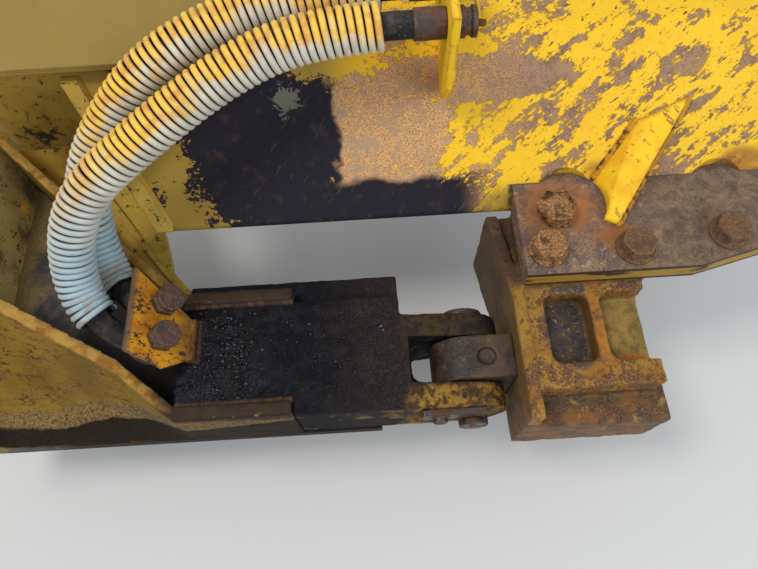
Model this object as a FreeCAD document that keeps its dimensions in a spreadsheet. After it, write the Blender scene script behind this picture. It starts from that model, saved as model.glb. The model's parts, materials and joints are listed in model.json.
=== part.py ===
"""Bulldozer push-arm hinge: the side of the main frame with its bolted pivot bracket, the rear
end of the blade's push arm pinned to it, and the two guarded hydraulic hoses that cross the joint.

Millimetres. X runs to the machine's rear, Y inboard and Z up. Every piece is drawn from the hinge
pin's centre, and its Placement then carries it to the frame's origin: the centre of the machined
back face of the side beam, where the assembly is held.
"""
import FreeCAD
import Part
import Sketcher

import math
import os
import re

doc = FreeCAD.newDocument("push_arm_hinge")
sheet = doc.addObject("Spreadsheet::Sheet", "sizes")

SIZES = {
    # place of the hinge pin: below and outboard of the beam's back face
    "pin_drop": 160, "pin_out": 430,
    # hinge: pin, bushing, lug and fork
    "pin_radius": 18, "pin_play": 0.05, "bush_wall": 6, "lug_radius": 46, "lug_width": 54,
    "side_play": 1.5, "tine_thick": 30, "tine_radius": 43, "slot_back": 72, "slot_corner": 12,
    "dimple_radius": 11, "dimple_place": 20, "dimple_deep": 6,
    "head_play": 1, "pin_head": 12, "pin_head_radius": 27, "pin_tail": 15, "pin_flat": 11,
    "keeper_thick": 8, "keeper_play": 0.3, "keeper_front": 62, "keeper_rear": 14,
    "keeper_tall": 24, "keeper_bolt_place": 42, "keeper_bolt_radius": 9, "keeper_bolt_high": 7,
    # forged block of the arm
    "block_top": 52, "block_bottom": 52, "block_rear": 82, "block_front": 352, "block_inner": 84,
    "block_round": 10, "step_out": 38, "step_top": 30,
    # folded walls, floor, corner plate and end flange of the arm
    "wall_wide": 18, "wall_rise": 6, "tail_rear": 215, "arm_front": 640, "bend_mid": 430,
    "foot_out": 60, "floor_thick": 14, "floor_lap": 30, "bend_top": 54, "front_top": 80,
    "knee_drop": 12, "outer_mid_knee": -30, "outer_mid_top": 5, "outer_front_knee": 34,
    "outer_front_top": 124, "inner_mid_top": 154, "inner_front_top": 352,
    "corner_top": 8, "corner_thick": 14, "corner_inner": 384, "corner_front": 560,
    "corner_near": 118, "corner_waist": 388, "corner_lip": 26, "corner_step_long": 17,
    "corner_step_wide": 62, "corner_far_long": 85,
    "corner_bar_wide": 20, "corner_bar_high": 6,
    "flange_thick": 20, "flange_rise": 6,
    "arm_bolt_radius": 11, "arm_bolt_wide": 280, "arm_bolt_tall": 76,
    # side beam of the main frame
    "beam_rear": 430, "beam_front": 640, "beam_low": 80, "beam_high": 240, "face_low": 165,
    "face_high": 325, "face_round": 8, "brow_round": 16, "beam_wall": 14, "back_wall": 25,
    "face_wall": 38, "face_wall_high": 19,
    "nose_foot": 368, "nose_head": 466, "nose_drop": 6,
    "nose_bar_wide": 20, "nose_bar_high": 6,
    "ledge_left": 68, "ledge_out": 72, "ledge_low": 84, "ledge_high": 112, "ledge_root": 40,
    "ledge_clip_long": 160, "ledge_clip_wide": 40, "ledge_round": 40,
    "scoop_radius": 45, "scoop_one": 132, "scoop_two": 322, "scoop_in": 165,
    "seat_bolt_radius": 11, "seat_bolt_wide": 600, "seat_bolt_tall": 120,
    # gusset on the ledge
    "rib_tip": 18, "rib_root": 50, "rib_tip_high": 6, "rib_reach": 170, "rib_tall": 70,
    "rib_place": 176, "rib_foot": 134, "rib_angle": 60,
    # cover plate over the beam's nose
    "cover_thick": 8, "cover_out": 298, "cover_rear": 262,
    # pivot bracket
    "bracket_front": 54, "bracket_rear": 216, "bracket_top": 70, "bracket_low": 62,
    "bracket_out": 86, "bracket_in": 176, "cheek_thick": 16, "cheek_top": 78, "cheek_knee": 60,
    "cheek_sweep": 18, "pocket_floor": 42, "pocket_one_front": 92, "pocket_one_rear": 146,
    "pocket_two_front": 160, "pocket_in": 64, "pocket_out": 22, "pad_out": 74, "band_out": 52,
    "toe_top": 30, "toe_rear": 228,
    # bolts on the ledge and in its scoops
    "head_radius": 20.8, "head_high": 15, "washer_radius": 23, "washer_high": 4,
    "bolt_one": 96, "bolt_one_in": 103, "bolt_two": 198, "bolt_two_in": 99,
    "bolt_three": 312, "bolt_three_in": 112,
    "boss": 112, "boss_in": 152, "boss_radius": 27, "boss_high": 22,
    # upright plate on the beam that carries the hoses' upper fittings
    "top_rear": 12, "plate_thick": 9, "top_out": 238, "top_in": 364, "top_plate_high": 334,
    "top_low": 200, "top_slope_out": 262, "top_foot_long": 44,
    # leaning plate on the arm that carries their lower fittings
    "lean_angle": 45, "lean_place": 362, "lean_height": 92, "lean_up": 38, "lean_down": 38,
    "lean_apex": 112, "lean_top_out": 10, "lean_out": -4, "lean_bend": 8, "lean_foot_out": 10,
    "lean_foot_in": 62, "lean_foot_front": 342, "lean_foot_rear": 331,
    "lean_foot_share": 0.68,
    # fittings and hoses
    "fit_radius": 13, "fit_long": 22, "nut_radius": 17, "nut_high": 10, "sleeve_radius": 16,
    "knuckle_radius": 17, "cap_high": 6, "elbow_back": 32, "collar_long": 24, "fit_out": 30,
    "fit_in": 74, "top_fit_out": 272, "top_fit_in": 330, "top_fit_high": 300, "ferrule_long": 34,
    "fit_play": 0.1, "hose_radius": 14, "guard_radius": 25, "guard_gap": 30, "guard_share": 0.2,
    "arc_share": 0.45,
}
for row, (alias, value) in enumerate(SIZES.items(), start=1):
    sheet.set(f"A{row}", alias)
    sheet.set(f"B{row}", str(value))
    sheet.setAlias(f"B{row}", alias)
doc.recompute()


def size(alias):
    return float(sheet.get(alias))


def bound(words):
    """An expression in plain size names, with each name pointed at the sheet."""
    return re.sub(r"[a-z_]+[a-z0-9_]*", lambda m: "sizes." + m.group() if m.group() in SIZES
                  else m.group(), str(words))


def bind(thing, **expressions):
    for path, words in expressions.items():
        thing.setExpression(path.replace("__", "."), bound(words))
    return thing


def box(name, x, y, z):
    """A block between two places along each axis."""
    thing = doc.addObject("Part::Box", name)
    return bind(thing, Length=f"({x[1]}) - ({x[0]})", Width=f"({y[1]}) - ({y[0]})",
                Height=f"({z[1]}) - ({z[0]})", Placement__Base__x=x[0], Placement__Base__y=y[0],
                Placement__Base__z=z[0])


TURNS = {
    "x": FreeCAD.Rotation(FreeCAD.Vector(0, 1, 0), 90),
    "y": FreeCAD.Rotation(FreeCAD.Vector(1, 0, 0), -90),
    "z": FreeCAD.Rotation(),
}


def rod(name, axis, radius, along, middle):
    """A cylinder along an axis, between two places on it, at a middle given in the other two."""
    thing = doc.addObject("Part::Cylinder", name)
    thing.Placement = FreeCAD.Placement(FreeCAD.Vector(), TURNS[axis])
    bind(thing, Radius=radius, Height=f"({along[1]}) - ({along[0]})")
    places = dict(zip([a for a in "xyz" if a != axis], middle))
    places[axis] = along[0]
    for letter, place in places.items():
        thing.setExpression(f"Placement.Base.{letter}", bound(place))
    return thing


def hexagon(name, radius, along, middle):
    """An upright hexagonal head or nut."""
    thing = doc.addObject("Part::Prism", name)
    thing.Polygon = 6
    return bind(thing, Circumradius=radius, Height=f"({along[1]}) - ({along[0]})",
                Placement__Base__x=middle[0], Placement__Base__y=middle[1],
                Placement__Base__z=along[0])


PLANES = {
    "XY": (FreeCAD.Rotation(), "z"),
    "XZ": (FreeCAD.Rotation(FreeCAD.Vector(1, 0, 0), 90), "y"),
    "YZ": (FreeCAD.Rotation(FreeCAD.Vector(1, 1, 1), 120), "x"),
}


def outline(name, plane, place, corners):
    """A closed sketch of straight sides on a plane, each corner held by two bound dimensions."""
    sketch = doc.addObject("Sketcher::SketchObject", name)
    turn, letter = PLANES[plane]
    sketch.Placement = FreeCAD.Placement(FreeCAD.Vector(), turn)
    sketch.setExpression(f"Placement.Base.{letter}", bound(place))
    here = [tuple(worked(words) for words in corner) for corner in corners]
    for first, last in zip(here, here[1:] + here[:1]):
        sketch.addGeometry(Part.LineSegment(FreeCAD.Vector(*first, 0), FreeCAD.Vector(*last, 0)))
    for index, corner in enumerate(corners):
        after = (index + 1) % len(corners)
        sketch.addConstraint(Sketcher.Constraint("Coincident", index, 2, after, 1))
        for kind, words, value in zip(("DistanceX", "DistanceY"), corner, here[index]):
            held = sketch.addConstraint(Sketcher.Constraint(kind, -1, 1, index, 1, value))
            sketch.setExpression(f"Constraints[{held}]", bound(words))
    return sketch


def worked(words):
    """The present value of an expression in size names."""
    names = {alias: size(alias) for alias in SIZES}
    scratch = str(words)
    for alias in sorted(names, key=len, reverse=True):
        scratch = re.sub(rf"\b{alias}\b", repr(names[alias]), scratch)
    return float(FreeCAD.Units.Quantity(scratch).Value)


def extruded(name, sketch, axis, length):
    """A sketch pulled along an axis."""
    thing = doc.addObject("Part::Extrusion", name)
    thing.Base = sketch
    thing.DirMode = "Custom"
    thing.Dir = FreeCAD.Vector(*(letter == axis for letter in "xyz"))
    thing.Solid = True
    return bind(thing, LengthFwd=length)


def slab(name, plane, span, corners):
    """A straight-sided outline pulled between two places along the plane's own axis."""
    sketch = outline(name + "_outline", plane, span[0], corners)
    return extruded(name, sketch, PLANES[plane][1], f"({span[1]}) - ({span[0]})")


def loft(name, plane, sections):
    """A solid ruled between outlines that stand at several places along the plane's axis."""
    thing = doc.addObject("Part::Loft", name)
    thing.Sections = [outline(f"{name}_at_{index}", plane, place, corners)
                      for index, (place, corners) in enumerate(sections)]
    thing.Solid = True
    thing.Ruled = True
    return thing


def fused(name, *things):
    thing = doc.addObject("Part::MultiFuse", name)
    thing.Shapes = list(things)
    thing.Refine = True
    return thing


def shared(name, *things):
    """What two shapes have in common."""
    thing = doc.addObject("Part::MultiCommon", name)
    thing.Shapes = list(things)
    return thing


def cut(name, base, *tools):
    thing = doc.addObject("Part::Cut", name)
    thing.Base = base
    thing.Tool = tools[0] if len(tools) == 1 else fused(name + "_tools", *tools)
    thing.Refine = True
    return thing


def turned(name, axis, angle, place, *things):
    """Things drawn at the origin, turned there about an axis and carried to a place."""
    thing = doc.addObject("Part::Compound", name)
    thing.Links = list(things)
    way = FreeCAD.Vector(*(letter == axis for letter in "xyz"))
    thing.Placement = FreeCAD.Placement(FreeCAD.Vector(), FreeCAD.Rotation(way, 1))
    return bind(thing, Placement__Rotation__Angle=angle, Placement__Base__x=place[0],
                Placement__Base__y=place[1], Placement__Base__z=place[2])


def rounded(name, base, radius, chosen):
    """Fillets on the edges of a piece that a rule chooses by their place."""
    doc.recompute()
    thing = doc.addObject("Part::Fillet", name)
    thing.Base = base
    edges = [index for index, edge in enumerate(base.Shape.Edges, start=1) if chosen(edge)]
    thing.Edges = [(index, size(radius), size(radius)) for index in edges]
    return thing


def along(axis, **places):
    """A rule for rounded: straight edges along an axis that lie at given places."""
    def chosen(edge):
        if edge.Curve.TypeId != "Part::GeomLine":
            return False
        way = edge.tangentAt(edge.FirstParameter)
        if abs(getattr(way, axis)) < STRAIGHT_SHARE:
            return False
        middle = edge.CenterOfMass
        return all(abs(getattr(middle, letter) - place) < NEAR
                   for letter, place in places.items())
    return chosen


pieces = []


def piece(label, *things):
    """One named sub-part: its solids carried from the pin to the frame's origin."""
    thing = doc.addObject("Part::Compound", label)
    thing.Links = list(things)
    thing.Label = label
    bind(thing, Placement__Base__y="-pin_out", Placement__Base__z="-pin_drop")
    pieces.append(thing)
    return thing


FAR = 900
STRAIGHT_SHARE = 0.999
NEAR = 0.01
SLOT_HALF = "(lug_width / 2 + side_play)"
FORK_HALF = f"({SLOT_HALF} + tine_thick)"
PIN_REACH = f"({FORK_HALF} + head_play)"


# push arm: forged block with the fork that takes the lug

def build_fork():
    rear = box("block_rear_part", ("-tail_rear", "-block_rear"), (f"-{FORK_HALF}", "block_inner"),
               ("-block_bottom", "block_top"))
    front = box("block_front_part", ("-block_front", "-tail_rear"),
                ("-foot_out + wall_wide", "block_inner"), ("-block_bottom", "block_top"))
    step = box("block_step", ("-block_front", "-block_rear"),
               ("block_inner", "block_inner + step_out"), ("-block_bottom", "step_top"))
    neck = slab("fork_neck", "XZ", (FORK_HALF, f"-{FORK_HALF}"), [
        ("-block_rear", "-block_bottom"), ("0", "-tine_radius"), ("0", "tine_radius"),
        ("-block_rear", "block_top")])
    ends = rod("fork_ends", "y", "tine_radius", (f"-{FORK_HALF}", FORK_HALF), ("0", "0"))
    slot = box("slot", ("-slot_back", "tine_radius * 2"), (f"-{SLOT_HALF}", SLOT_HALF),
               (f"-{FAR}", FAR))
    slot = rounded("slot_rounded", slot, "slot_corner", along("z", x=-size("slot_back")))
    bore = rod("fork_bore", "y", "pin_radius + pin_play", (f"-{FAR}", FAR), ("0", "0"))
    whole = cut("fork_cut", fused("fork_whole", rear, front, step, neck, ends), slot, bore)
    piece("arm_fork", rounded("fork_rounded", whole, "block_round",
                              along("x", y=-worked(FORK_HALF))))


# push arm: folded walls that run back along the block, floor, corner plate and end flange

def build_arm_walls():
    def folded(place, knee, top, height):
        """The outer wall's section: foot, knee and top outside, then the same inside."""
        outside = [("-foot_out", "-block_bottom"), (knee, "-knee_drop"), (top, height)]
        return place, outside + [(f"{across} + wall_wide", up) for across, up in outside[::-1]]
    outer = loft("outer_wall", "YZ", [
        folded("-arm_front", "outer_front_knee", "outer_front_top", "front_top"),
        folded("-bend_mid", "outer_mid_knee", "outer_mid_top", "bend_top"),
        folded("-block_front", "-foot_out", "-foot_out", "block_top + wall_rise")])
    outer_tail = box("outer_tail", ("-block_front", "-tail_rear"),
                     ("-foot_out", "-foot_out + wall_wide"),
                     ("-block_bottom", "block_top + wall_rise"))
    piece("arm_outer_wall", fused("outer_wall_whole", outer, outer_tail))

    def upright(place, near, height):
        return place, [(near, "-block_bottom"), (f"{near} + wall_wide", "-block_bottom"),
                       (f"{near} + wall_wide", height), (near, height)]
    inner = loft("inner_wall", "YZ", [
        upright("-arm_front", "inner_front_top", "front_top"),
        upright("-bend_mid", "inner_mid_top", "bend_top"),
        upright("-block_front", "block_inner", "block_top + wall_rise")])
    inner_tail = box("inner_tail", ("-block_front", "-tail_rear"),
                     ("block_inner", "block_inner + wall_wide"),
                     ("step_top", "block_top + wall_rise"))
    piece("arm_inner_wall", fused("inner_wall_whole", inner, inner_tail))


def build_arm_plates():
    floor = slab("floor", "XY", ("-block_bottom - floor_thick", "-block_bottom"), [
        ("-block_rear - floor_lap", "-foot_out"),
        ("-block_rear - floor_lap", "block_inner + step_out"),
        ("-block_front", "block_inner + step_out"), ("-bend_mid", "inner_mid_top + wall_wide"),
        ("-arm_front", "inner_front_top + wall_wide"), ("-arm_front", "-foot_out")])
    piece("arm_floor", floor)

    near, far = ("-block_front", "block_inner + wall_wide"), ("-corner_front", "corner_inner")
    wall_slope = "(inner_mid_top - block_inner) / (bend_mid - block_front)"
    waist = f"(block_inner + wall_wide + (corner_waist - block_front) * {wall_slope} + corner_lip)"
    corner = slab("corner", "XY", ("corner_top - corner_thick", "corner_top"), [
        near, ("-block_front", "corner_near"), ("-corner_waist", waist),
        ("-corner_waist - corner_step_long", f"{waist} + corner_step_wide"),
        ("-corner_waist - corner_step_long - corner_far_long", "corner_inner"),
        ("-arm_front", "corner_inner"), ("-arm_front", "inner_front_top + wall_wide"),
        ("-bend_mid", "inner_mid_top + wall_wide")])
    bar = slab("corner_bar", "XY", ("corner_top", "corner_top + corner_bar_high"), [
        near, far, (f"{far[0]} - corner_bar_wide", far[1]),
        (f"{near[0]} - corner_bar_wide", f"{near[1]} + corner_bar_wide")])
    piece("arm_corner_plate", corner)
    piece("corner_edge_bar", bar)

    flange = box("end_flange", ("-arm_front - flange_thick", "-arm_front"),
                 ("-foot_out", "corner_inner"),
                 ("-block_bottom - floor_thick", "front_top + flange_rise"))
    middle = "(corner_inner - foot_out) / 2"
    centre = "(front_top + flange_rise - block_bottom - floor_thick) / 2"
    holes = [rod(f"end_hole_{across}{level}", "x", "arm_bolt_radius", (f"-{FAR}", FAR),
                 (f"{middle} + {across} * arm_bolt_wide / 2",
                  f"{centre} + {level} * arm_bolt_tall / 2"))
             for across in (-1, 1) for level in (-1, 1)]
    piece("arm_end_flange", cut("end_flange_cut", flange, *holes))


# hinge pin with its head and keeper, and the bushing in the lug

def build_pin():
    shank = rod("pin_shank", "y", "pin_radius", (f"-{PIN_REACH} - pin_tail", PIN_REACH),
                ("0", "0"))
    head = rod("pin_cap", "y", "pin_head_radius", (PIN_REACH, f"{PIN_REACH} + pin_head"),
               ("0", "0"))
    keeper_span = (f"-{FORK_HALF} - keeper_thick", f"-{FORK_HALF}")
    notch = box("pin_notch", (f"-{FAR}", FAR),
                (f"{keeper_span[0]} - keeper_play", f"{keeper_span[1]} + keeper_play"),
                ("pin_flat", FAR))
    piece("hinge_pin", cut("pin_cut", fused("pin_whole", shank, head), notch))
    keeper = box("keeper", ("-keeper_front", "keeper_rear"), keeper_span,
                 ("pin_flat + keeper_play", "pin_flat + keeper_play + keeper_tall"))
    bolt = rod("keeper_bolt", "y", "keeper_bolt_radius",
               (f"{keeper_span[0]} - keeper_bolt_high", keeper_span[0]),
               ("-keeper_bolt_place", "pin_flat + keeper_play + keeper_tall / 2"))
    piece("pin_keeper", fused("keeper_whole", keeper, bolt))
    bush = cut("bush_cut", rod("bush_outer", "y", "pin_radius + bush_wall",
                               ("-lug_width / 2", "lug_width / 2"), ("0", "0")),
               rod("bush_inner", "y", "pin_radius + pin_play * 2", (f"-{FAR}", FAR), ("0", "0")))
    piece("lug_bushing", bush)


# pivot bracket and its lug

def build_bracket():
    body = box("bracket_body", ("bracket_front", "bracket_rear"), ("-band_out", "bracket_in"),
               ("-bracket_low", "bracket_top"))
    pad = box("bracket_pad", ("ledge_left", "bracket_rear"), ("pad_out", "bracket_in"),
              ("0", "ledge_low"))
    line = [("bracket_front", "-bracket_out"), ("bracket_front", "cheek_knee"),
            ("bracket_front - cheek_sweep", "bracket_in")]
    cheek = slab("bracket_cheek", "XY", ("-bracket_low", "cheek_top"),
                 line + [(f"{place} + cheek_thick", across) for place, across in line[::-1]])
    toe = box("bracket_toe", ("bracket_front", "toe_rear"), ("-bracket_out", "-pocket_out"),
              ("-bracket_low", "toe_top"))
    first = box("pocket_one", ("pocket_one_front", "pocket_one_rear"), ("-pocket_out", "pocket_in"),
                ("pocket_floor", FAR))
    first = rounded("pocket_one_round", first, "slot_corner", along("z"))
    second = box("pocket_two", ("pocket_two_front", FAR), ("-pocket_out", "pocket_in"),
                 ("pocket_floor", FAR))
    second = rounded("pocket_two_round", second, "slot_corner",
                     along("z", x=size("pocket_two_front")))
    piece("pivot_bracket", cut("bracket_cut", fused("bracket_whole", body, pad, cheek, toe),
                               first, second))
    eye = rod("lug_eye", "y", "lug_radius", ("-lug_width / 2", "lug_width / 2"), ("0", "0"))
    web = box("lug_web", ("0", "bracket_front"), ("-lug_width / 2", "lug_width / 2"),
              ("-lug_radius", "lug_radius"))
    bore = rod("lug_bore", "y", "pin_radius + bush_wall", (f"-{FAR}", FAR), ("0", "0"))
    dimple = rod("grease_dimple", "z", "dimple_radius", ("lug_radius - dimple_deep", FAR),
                 ("dimple_place", "0"))
    piece("pivot_lug", cut("lug_cut", fused("lug_whole", eye, web), bore, dimple))


# side beam of the main frame, with its ledge, edge bar, gusset and cover

def build_beam():
    skin = slab("beam_skin", "YZ", ("-beam_front", "beam_rear"), [
        ("face_low", "beam_low"), ("face_high", "beam_high"),
        ("pin_out", "beam_high"), ("pin_out", "beam_low")])
    skin = rounded("beam_rounded", skin, "face_round", along("x", y=size("face_low")))
    skin = rounded("beam_eased", skin, "brow_round", along("x", y=size("face_high")))
    nose = box("nose_plate", ("-beam_front", "-nose_foot"), ("pin_out - back_wall", "pin_out"),
               ("-nose_drop", "beam_high"))
    before = slab("nose_before", "XZ", ("pin_out - back_wall", f"-{FAR}"), [
        ("-nose_foot", "beam_low"), (f"-{FAR}", "beam_low"), (f"-{FAR}", FAR),
        ("-nose_head", FAR), ("-nose_head", "beam_high")])
    ledge = slab("ledge", "XY", ("ledge_low", "ledge_high"), [
        ("ledge_left", "ledge_out"), ("beam_rear - ledge_clip_long", "ledge_out"),
        ("beam_rear", "ledge_out + ledge_clip_wide"), ("beam_rear", "face_low + ledge_root"),
        ("ledge_left", "face_low + ledge_root")])
    ledge = rounded("ledge_rounded", ledge, "ledge_round",
                    along("z", x=size("beam_rear"), y=worked("ledge_out + ledge_clip_wide")))
    hollow = slab("beam_hollow", "YZ", (f"-{FAR}", FAR), [
        ("face_low + face_wall", "beam_low + beam_wall"),
        ("face_high + face_wall_high", "beam_high - beam_wall"),
        ("pin_out - back_wall", "beam_high - beam_wall"),
        ("pin_out - back_wall", "beam_low + beam_wall")])
    scoops = [rod(f"scoop_{place}", "z", "scoop_radius", ("ledge_high", FAR),
                  (place, "scoop_in")) for place in ("scoop_one", "scoop_two")]
    holes = [rod(f"seat_hole_{across}{level}", "y", "seat_bolt_radius",
                 ("pin_out - back_wall - seat_bolt_radius", "pin_out + seat_bolt_radius"),
                 (f"{across} * seat_bolt_wide / 2", f"pin_drop + {level} * seat_bolt_tall / 2"))
             for across in (-1, 1) for level in (-1, 1)]
    whole = fused("beam_whole", skin, ledge, nose)
    piece("side_beam", cut("beam_cut", whole, before, hollow, *scoops, *holes))

    strip = slab("nose_strip", "XZ", (FAR, "0"), [
        ("-nose_foot", "beam_low"), ("-nose_head", "beam_high"),
        ("-nose_head + nose_bar_wide", "beam_high"), ("-nose_foot + nose_bar_wide", "beam_low")])
    layer = slab("nose_layer", "YZ", (f"-{FAR}", FAR), [
        ("face_low + brow_round - nose_bar_high * 2", "beam_low + brow_round"),
        ("face_high - brow_round - nose_bar_high * 2", "beam_high - brow_round"),
        ("face_high - brow_round", "beam_high - brow_round"),
        ("face_low + brow_round", "beam_low + brow_round")])
    piece("nose_edge_bar", cut("nose_bar", shared("nose_bar_shape", strip, layer), whole))

    def rib_section(place, wide, tall):
        """One side upright, a flat top, and the other side flared as far out as it is tall."""
        return place, [(f"-{wide} / 2", "0"), (f"-{wide} / 2", tall), (f"{wide} / 2", tall),
                       (f"{wide} / 2 + {tall}", "0")]
    rib = turned("rib", "z", "rib_angle", ("rib_place", "rib_foot", "ledge_high"),
                 loft("rib_shape", "YZ", [rib_section("0", "rib_tip", "rib_tip_high"),
                                          rib_section("rib_reach", "rib_root", "rib_tall")]))
    piece("ledge_gusset", cut("rib_cut", rib, whole, scoops[0]))

    cover = box("cover", ("-beam_front", "-cover_rear"), ("cover_out", "pin_out"),
                ("beam_high", "beam_high + cover_thick"))
    piece("nose_cover", cover)
    return whole


def build_bolts():
    def bolt(name, place, inboard, radius, high):
        washer = rod(name + "_washer", "z", "washer_radius",
                     ("ledge_high", "ledge_high + washer_high"), (place, inboard))
        head = hexagon(name + "_head", radius,
                       ("ledge_high + washer_high", f"ledge_high + washer_high + {high}"),
                       (place, inboard))
        return fused(name, washer, head)
    piece("ledge_bolts", bolt("bolt_a", "bolt_one", "bolt_one_in", "head_radius", "head_high"),
          bolt("bolt_b", "bolt_two", "bolt_two_in", "head_radius", "head_high"))
    piece("scoop_bolts", bolt("bolt_c", "boss", "boss_in", "boss_radius", "boss_high"),
          bolt("bolt_d", "bolt_three", "bolt_three_in", "head_radius", "head_high"))


# plates that carry the hoses' fittings

def build_hose_plates(beam):
    upright = slab("top_upright", "YZ", ("-top_rear - plate_thick", "-top_rear"), [
        ("top_slope_out", "top_low"), ("top_in", "top_low"), ("top_in", "top_plate_high"),
        ("top_out", "top_plate_high"), ("top_out", "beam_high")])
    foot = box("top_foot", ("-top_rear", "-top_rear + top_foot_long"), ("face_high", "top_in"),
               ("beam_high", "beam_high + plate_thick"))
    holes = [rod(f"top_hole_{across}", "x", "fit_radius + fit_play", (f"-{FAR}", FAR),
                 (across, "top_fit_high")) for across in ("top_fit_out", "top_fit_in")]
    piece("top_hose_plate", cut("top_plate_cut", fused("top_plate_whole", upright, foot), beam,
                                *holes))

    leaf = slab("lean_leaf", "XY", ("-plate_thick", "0"), [
        ("-lean_up", "lean_apex"), ("-lean_up", "lean_top_out"), ("lean_bend", "lean_out"),
        ("lean_down", "lean_foot_out"), ("lean_down", "lean_foot_in")])
    holes = [rod(f"lean_hole_{across}", "z", "fit_radius + fit_play", (f"-{FAR}", FAR),
                 ("0", across)) for across in ("fit_out", "fit_in")]
    leaf = cut("lean_cut", leaf, *holes)
    leaf = turned("lean_turned", "y", "lean_angle", ("-lean_place", "0", "lean_height"), leaf)
    stand = box("lean_stand", ("-lean_foot_front", "-lean_foot_rear"),
                ("lean_foot_out", "lean_foot_in"),
                ("block_top", "lean_height - lean_down * lean_foot_share"))
    piece("arm_hose_plate", fused("lean_whole", leaf, stand))


# corners of the hoses' routes, between their lower and upper fittings

CORNERS = {
    "front": [(-436, 50, 72), (-466, 102, 112), (-430, 152, 200), (-340, 198, 246),
              (-240, 248, 284), (-150, 272, 300)],
    "rear": [(-428, 104, 52), (-456, 156, 80), (-446, 200, 156), (-402, 240, 216),
             (-320, 280, 280), (-180, 330, 300)],
}


def elbow(across):
    """The middle of a lower fitting's elbow."""
    tilt = math.radians(size("lean_angle"))
    back = size("elbow_back")
    return FreeCAD.Vector(-size("lean_place") - back * math.sin(tilt), size(across),
                          size("lean_height") - back * math.cos(tilt))


def heading(name, across):
    """The way from an elbow to its hose's first corner."""
    return (FreeCAD.Vector(*CORNERS[name][0]) - elbow(across)).normalize()


# fittings: nuts on both sides of the plate, a cap, and a sleeve back to the hose

def build_fittings():
    def fitting(name, back):
        """A fitting along z: the plate's outer face at nought, its stub as far back as it goes."""
        return fused(
            name, rod(name + "_stub", "z", "fit_radius", (f"-({back})", "fit_long"), ("0", "0")),
            hexagon(name + "_nut", "nut_radius", ("0", "nut_high"), ("0", "0")),
            hexagon(name + "_lock", "nut_radius",
                    ("-plate_thick - nut_high", "-plate_thick"), ("0", "0")),
            rod(name + "_cap", "z", "sleeve_radius", ("fit_long - cap_high", "fit_long"),
                ("0", "0")))

    upper = [turned(name + "_turned", "y", 90, ("-top_rear", across, "top_fit_high"),
                    fused(name + "_whole", fitting(name, "plate_thick + ferrule_long"),
                          rod(name + "_sleeve", "z", "sleeve_radius",
                              ("-plate_thick - ferrule_long", "-plate_thick"), ("0", "0"))))
             for name, across in (("top_front", "top_fit_out"), ("top_rear_one", "top_fit_in"))]
    piece("top_fittings", *upper)

    lower = []
    for name, across in (("front", "fit_out"), ("rear", "fit_in")):
        stub = turned(name + "_turned", "y", "lean_angle", ("-lean_place", across, "lean_height"),
                      fitting("arm_" + name, "elbow_back"))
        knuckle = doc.addObject("Part::Cylinder", name + "_knuckle")
        collar = doc.addObject("Part::Cylinder", name + "_collar")
        bind(knuckle, Radius="knuckle_radius", Height="sleeve_radius * 2")
        bind(collar, Radius="sleeve_radius", Height="collar_long")
        tilt = math.radians(size("lean_angle"))
        plate_way = FreeCAD.Vector(math.sin(tilt), 0, math.cos(tilt))
        across_both = plate_way.cross(heading(name, across)).normalize()
        up = FreeCAD.Vector(0, 0, 1)
        knuckle.Placement = FreeCAD.Placement(
            elbow(across) - across_both * size("sleeve_radius"),
            FreeCAD.Rotation(up, across_both))
        collar.Placement = FreeCAD.Placement(
            elbow(across), FreeCAD.Rotation(up, heading(name, across)))
        lower.append(fused(name + "_elbow", stub, knuckle, collar))
    piece("arm_fittings", *lower)


# hoses: straight runs joined by tangent arcs, with a thicker guard over the middle

def tube(points, radius):
    """A round tube along a route: each corner an arc as large as its two runs allow."""
    edges, here, radii = [], points[0], []
    for before, corner, after in zip(points, points[1:], points[2:]):
        first, second = corner - before, after - corner
        turn = first.getAngle(second)
        back = size("arc_share") * min(first.Length, second.Length)
        start = corner - first.normalize() * back
        end = corner + second.normalize() * back
        inward = (start + end) * 0.5 - corner
        centre = corner + inward.normalize() * (back / math.sin(turn / 2))
        radii.append(back / math.tan(turn / 2))
        middle = centre + (corner - centre).normalize() * radii[-1]
        edges.append(Part.LineSegment(here, start).toShape())
        edges.append(Part.Arc(start, middle, end).toShape())
        here = end
    edges.append(Part.LineSegment(here, points[-1]).toShape())
    wire = Part.Wire(edges)
    ring = Part.Wire(Part.makeCircle(radius, points[0], points[1] - points[0]))
    solid = wire.makePipeShell([ring], True, False)
    print("tube length", round(wire.Length), "radii", [round(value) for value in radii],
          "volume ratio", round(solid.Volume / (math.pi * radius ** 2 * wire.Length), 4))
    return solid


def build_hoses():
    upper_x = -size("top_rear") - size("plate_thick") - size("ferrule_long")
    for name, across, upper in (("front", "fit_out", "top_fit_out"),
                                ("rear", "fit_in", "top_fit_in")):
        start = elbow(across) + heading(name, across) * size("collar_long")
        end = FreeCAD.Vector(upper_x, size(upper), size("top_fit_high"))
        corners = [FreeCAD.Vector(*corner) for corner in CORNERS[name]]
        low = corners[0] + (corners[1] - corners[0]) * size("guard_share")
        high = end + (corners[-1] - end).normalize() * size("guard_gap")
        runs = {
            "hose_" + name: [tube([start, corners[0], low], size("hose_radius")),
                             tube([high, end], size("hose_radius"))],
            "guard_" + name: [tube([low] + corners[1:] + [high], size("guard_radius"))],
        }
        for label, solids in runs.items():
            thing = doc.addObject("Part::Feature", label)
            thing.Label = label
            thing.Shape = Part.makeCompound(solids) if len(solids) > 1 else solids[0]
            bind(thing, Placement__Base__y="-pin_out", Placement__Base__z="-pin_drop")
            pieces.append(thing)


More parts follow.
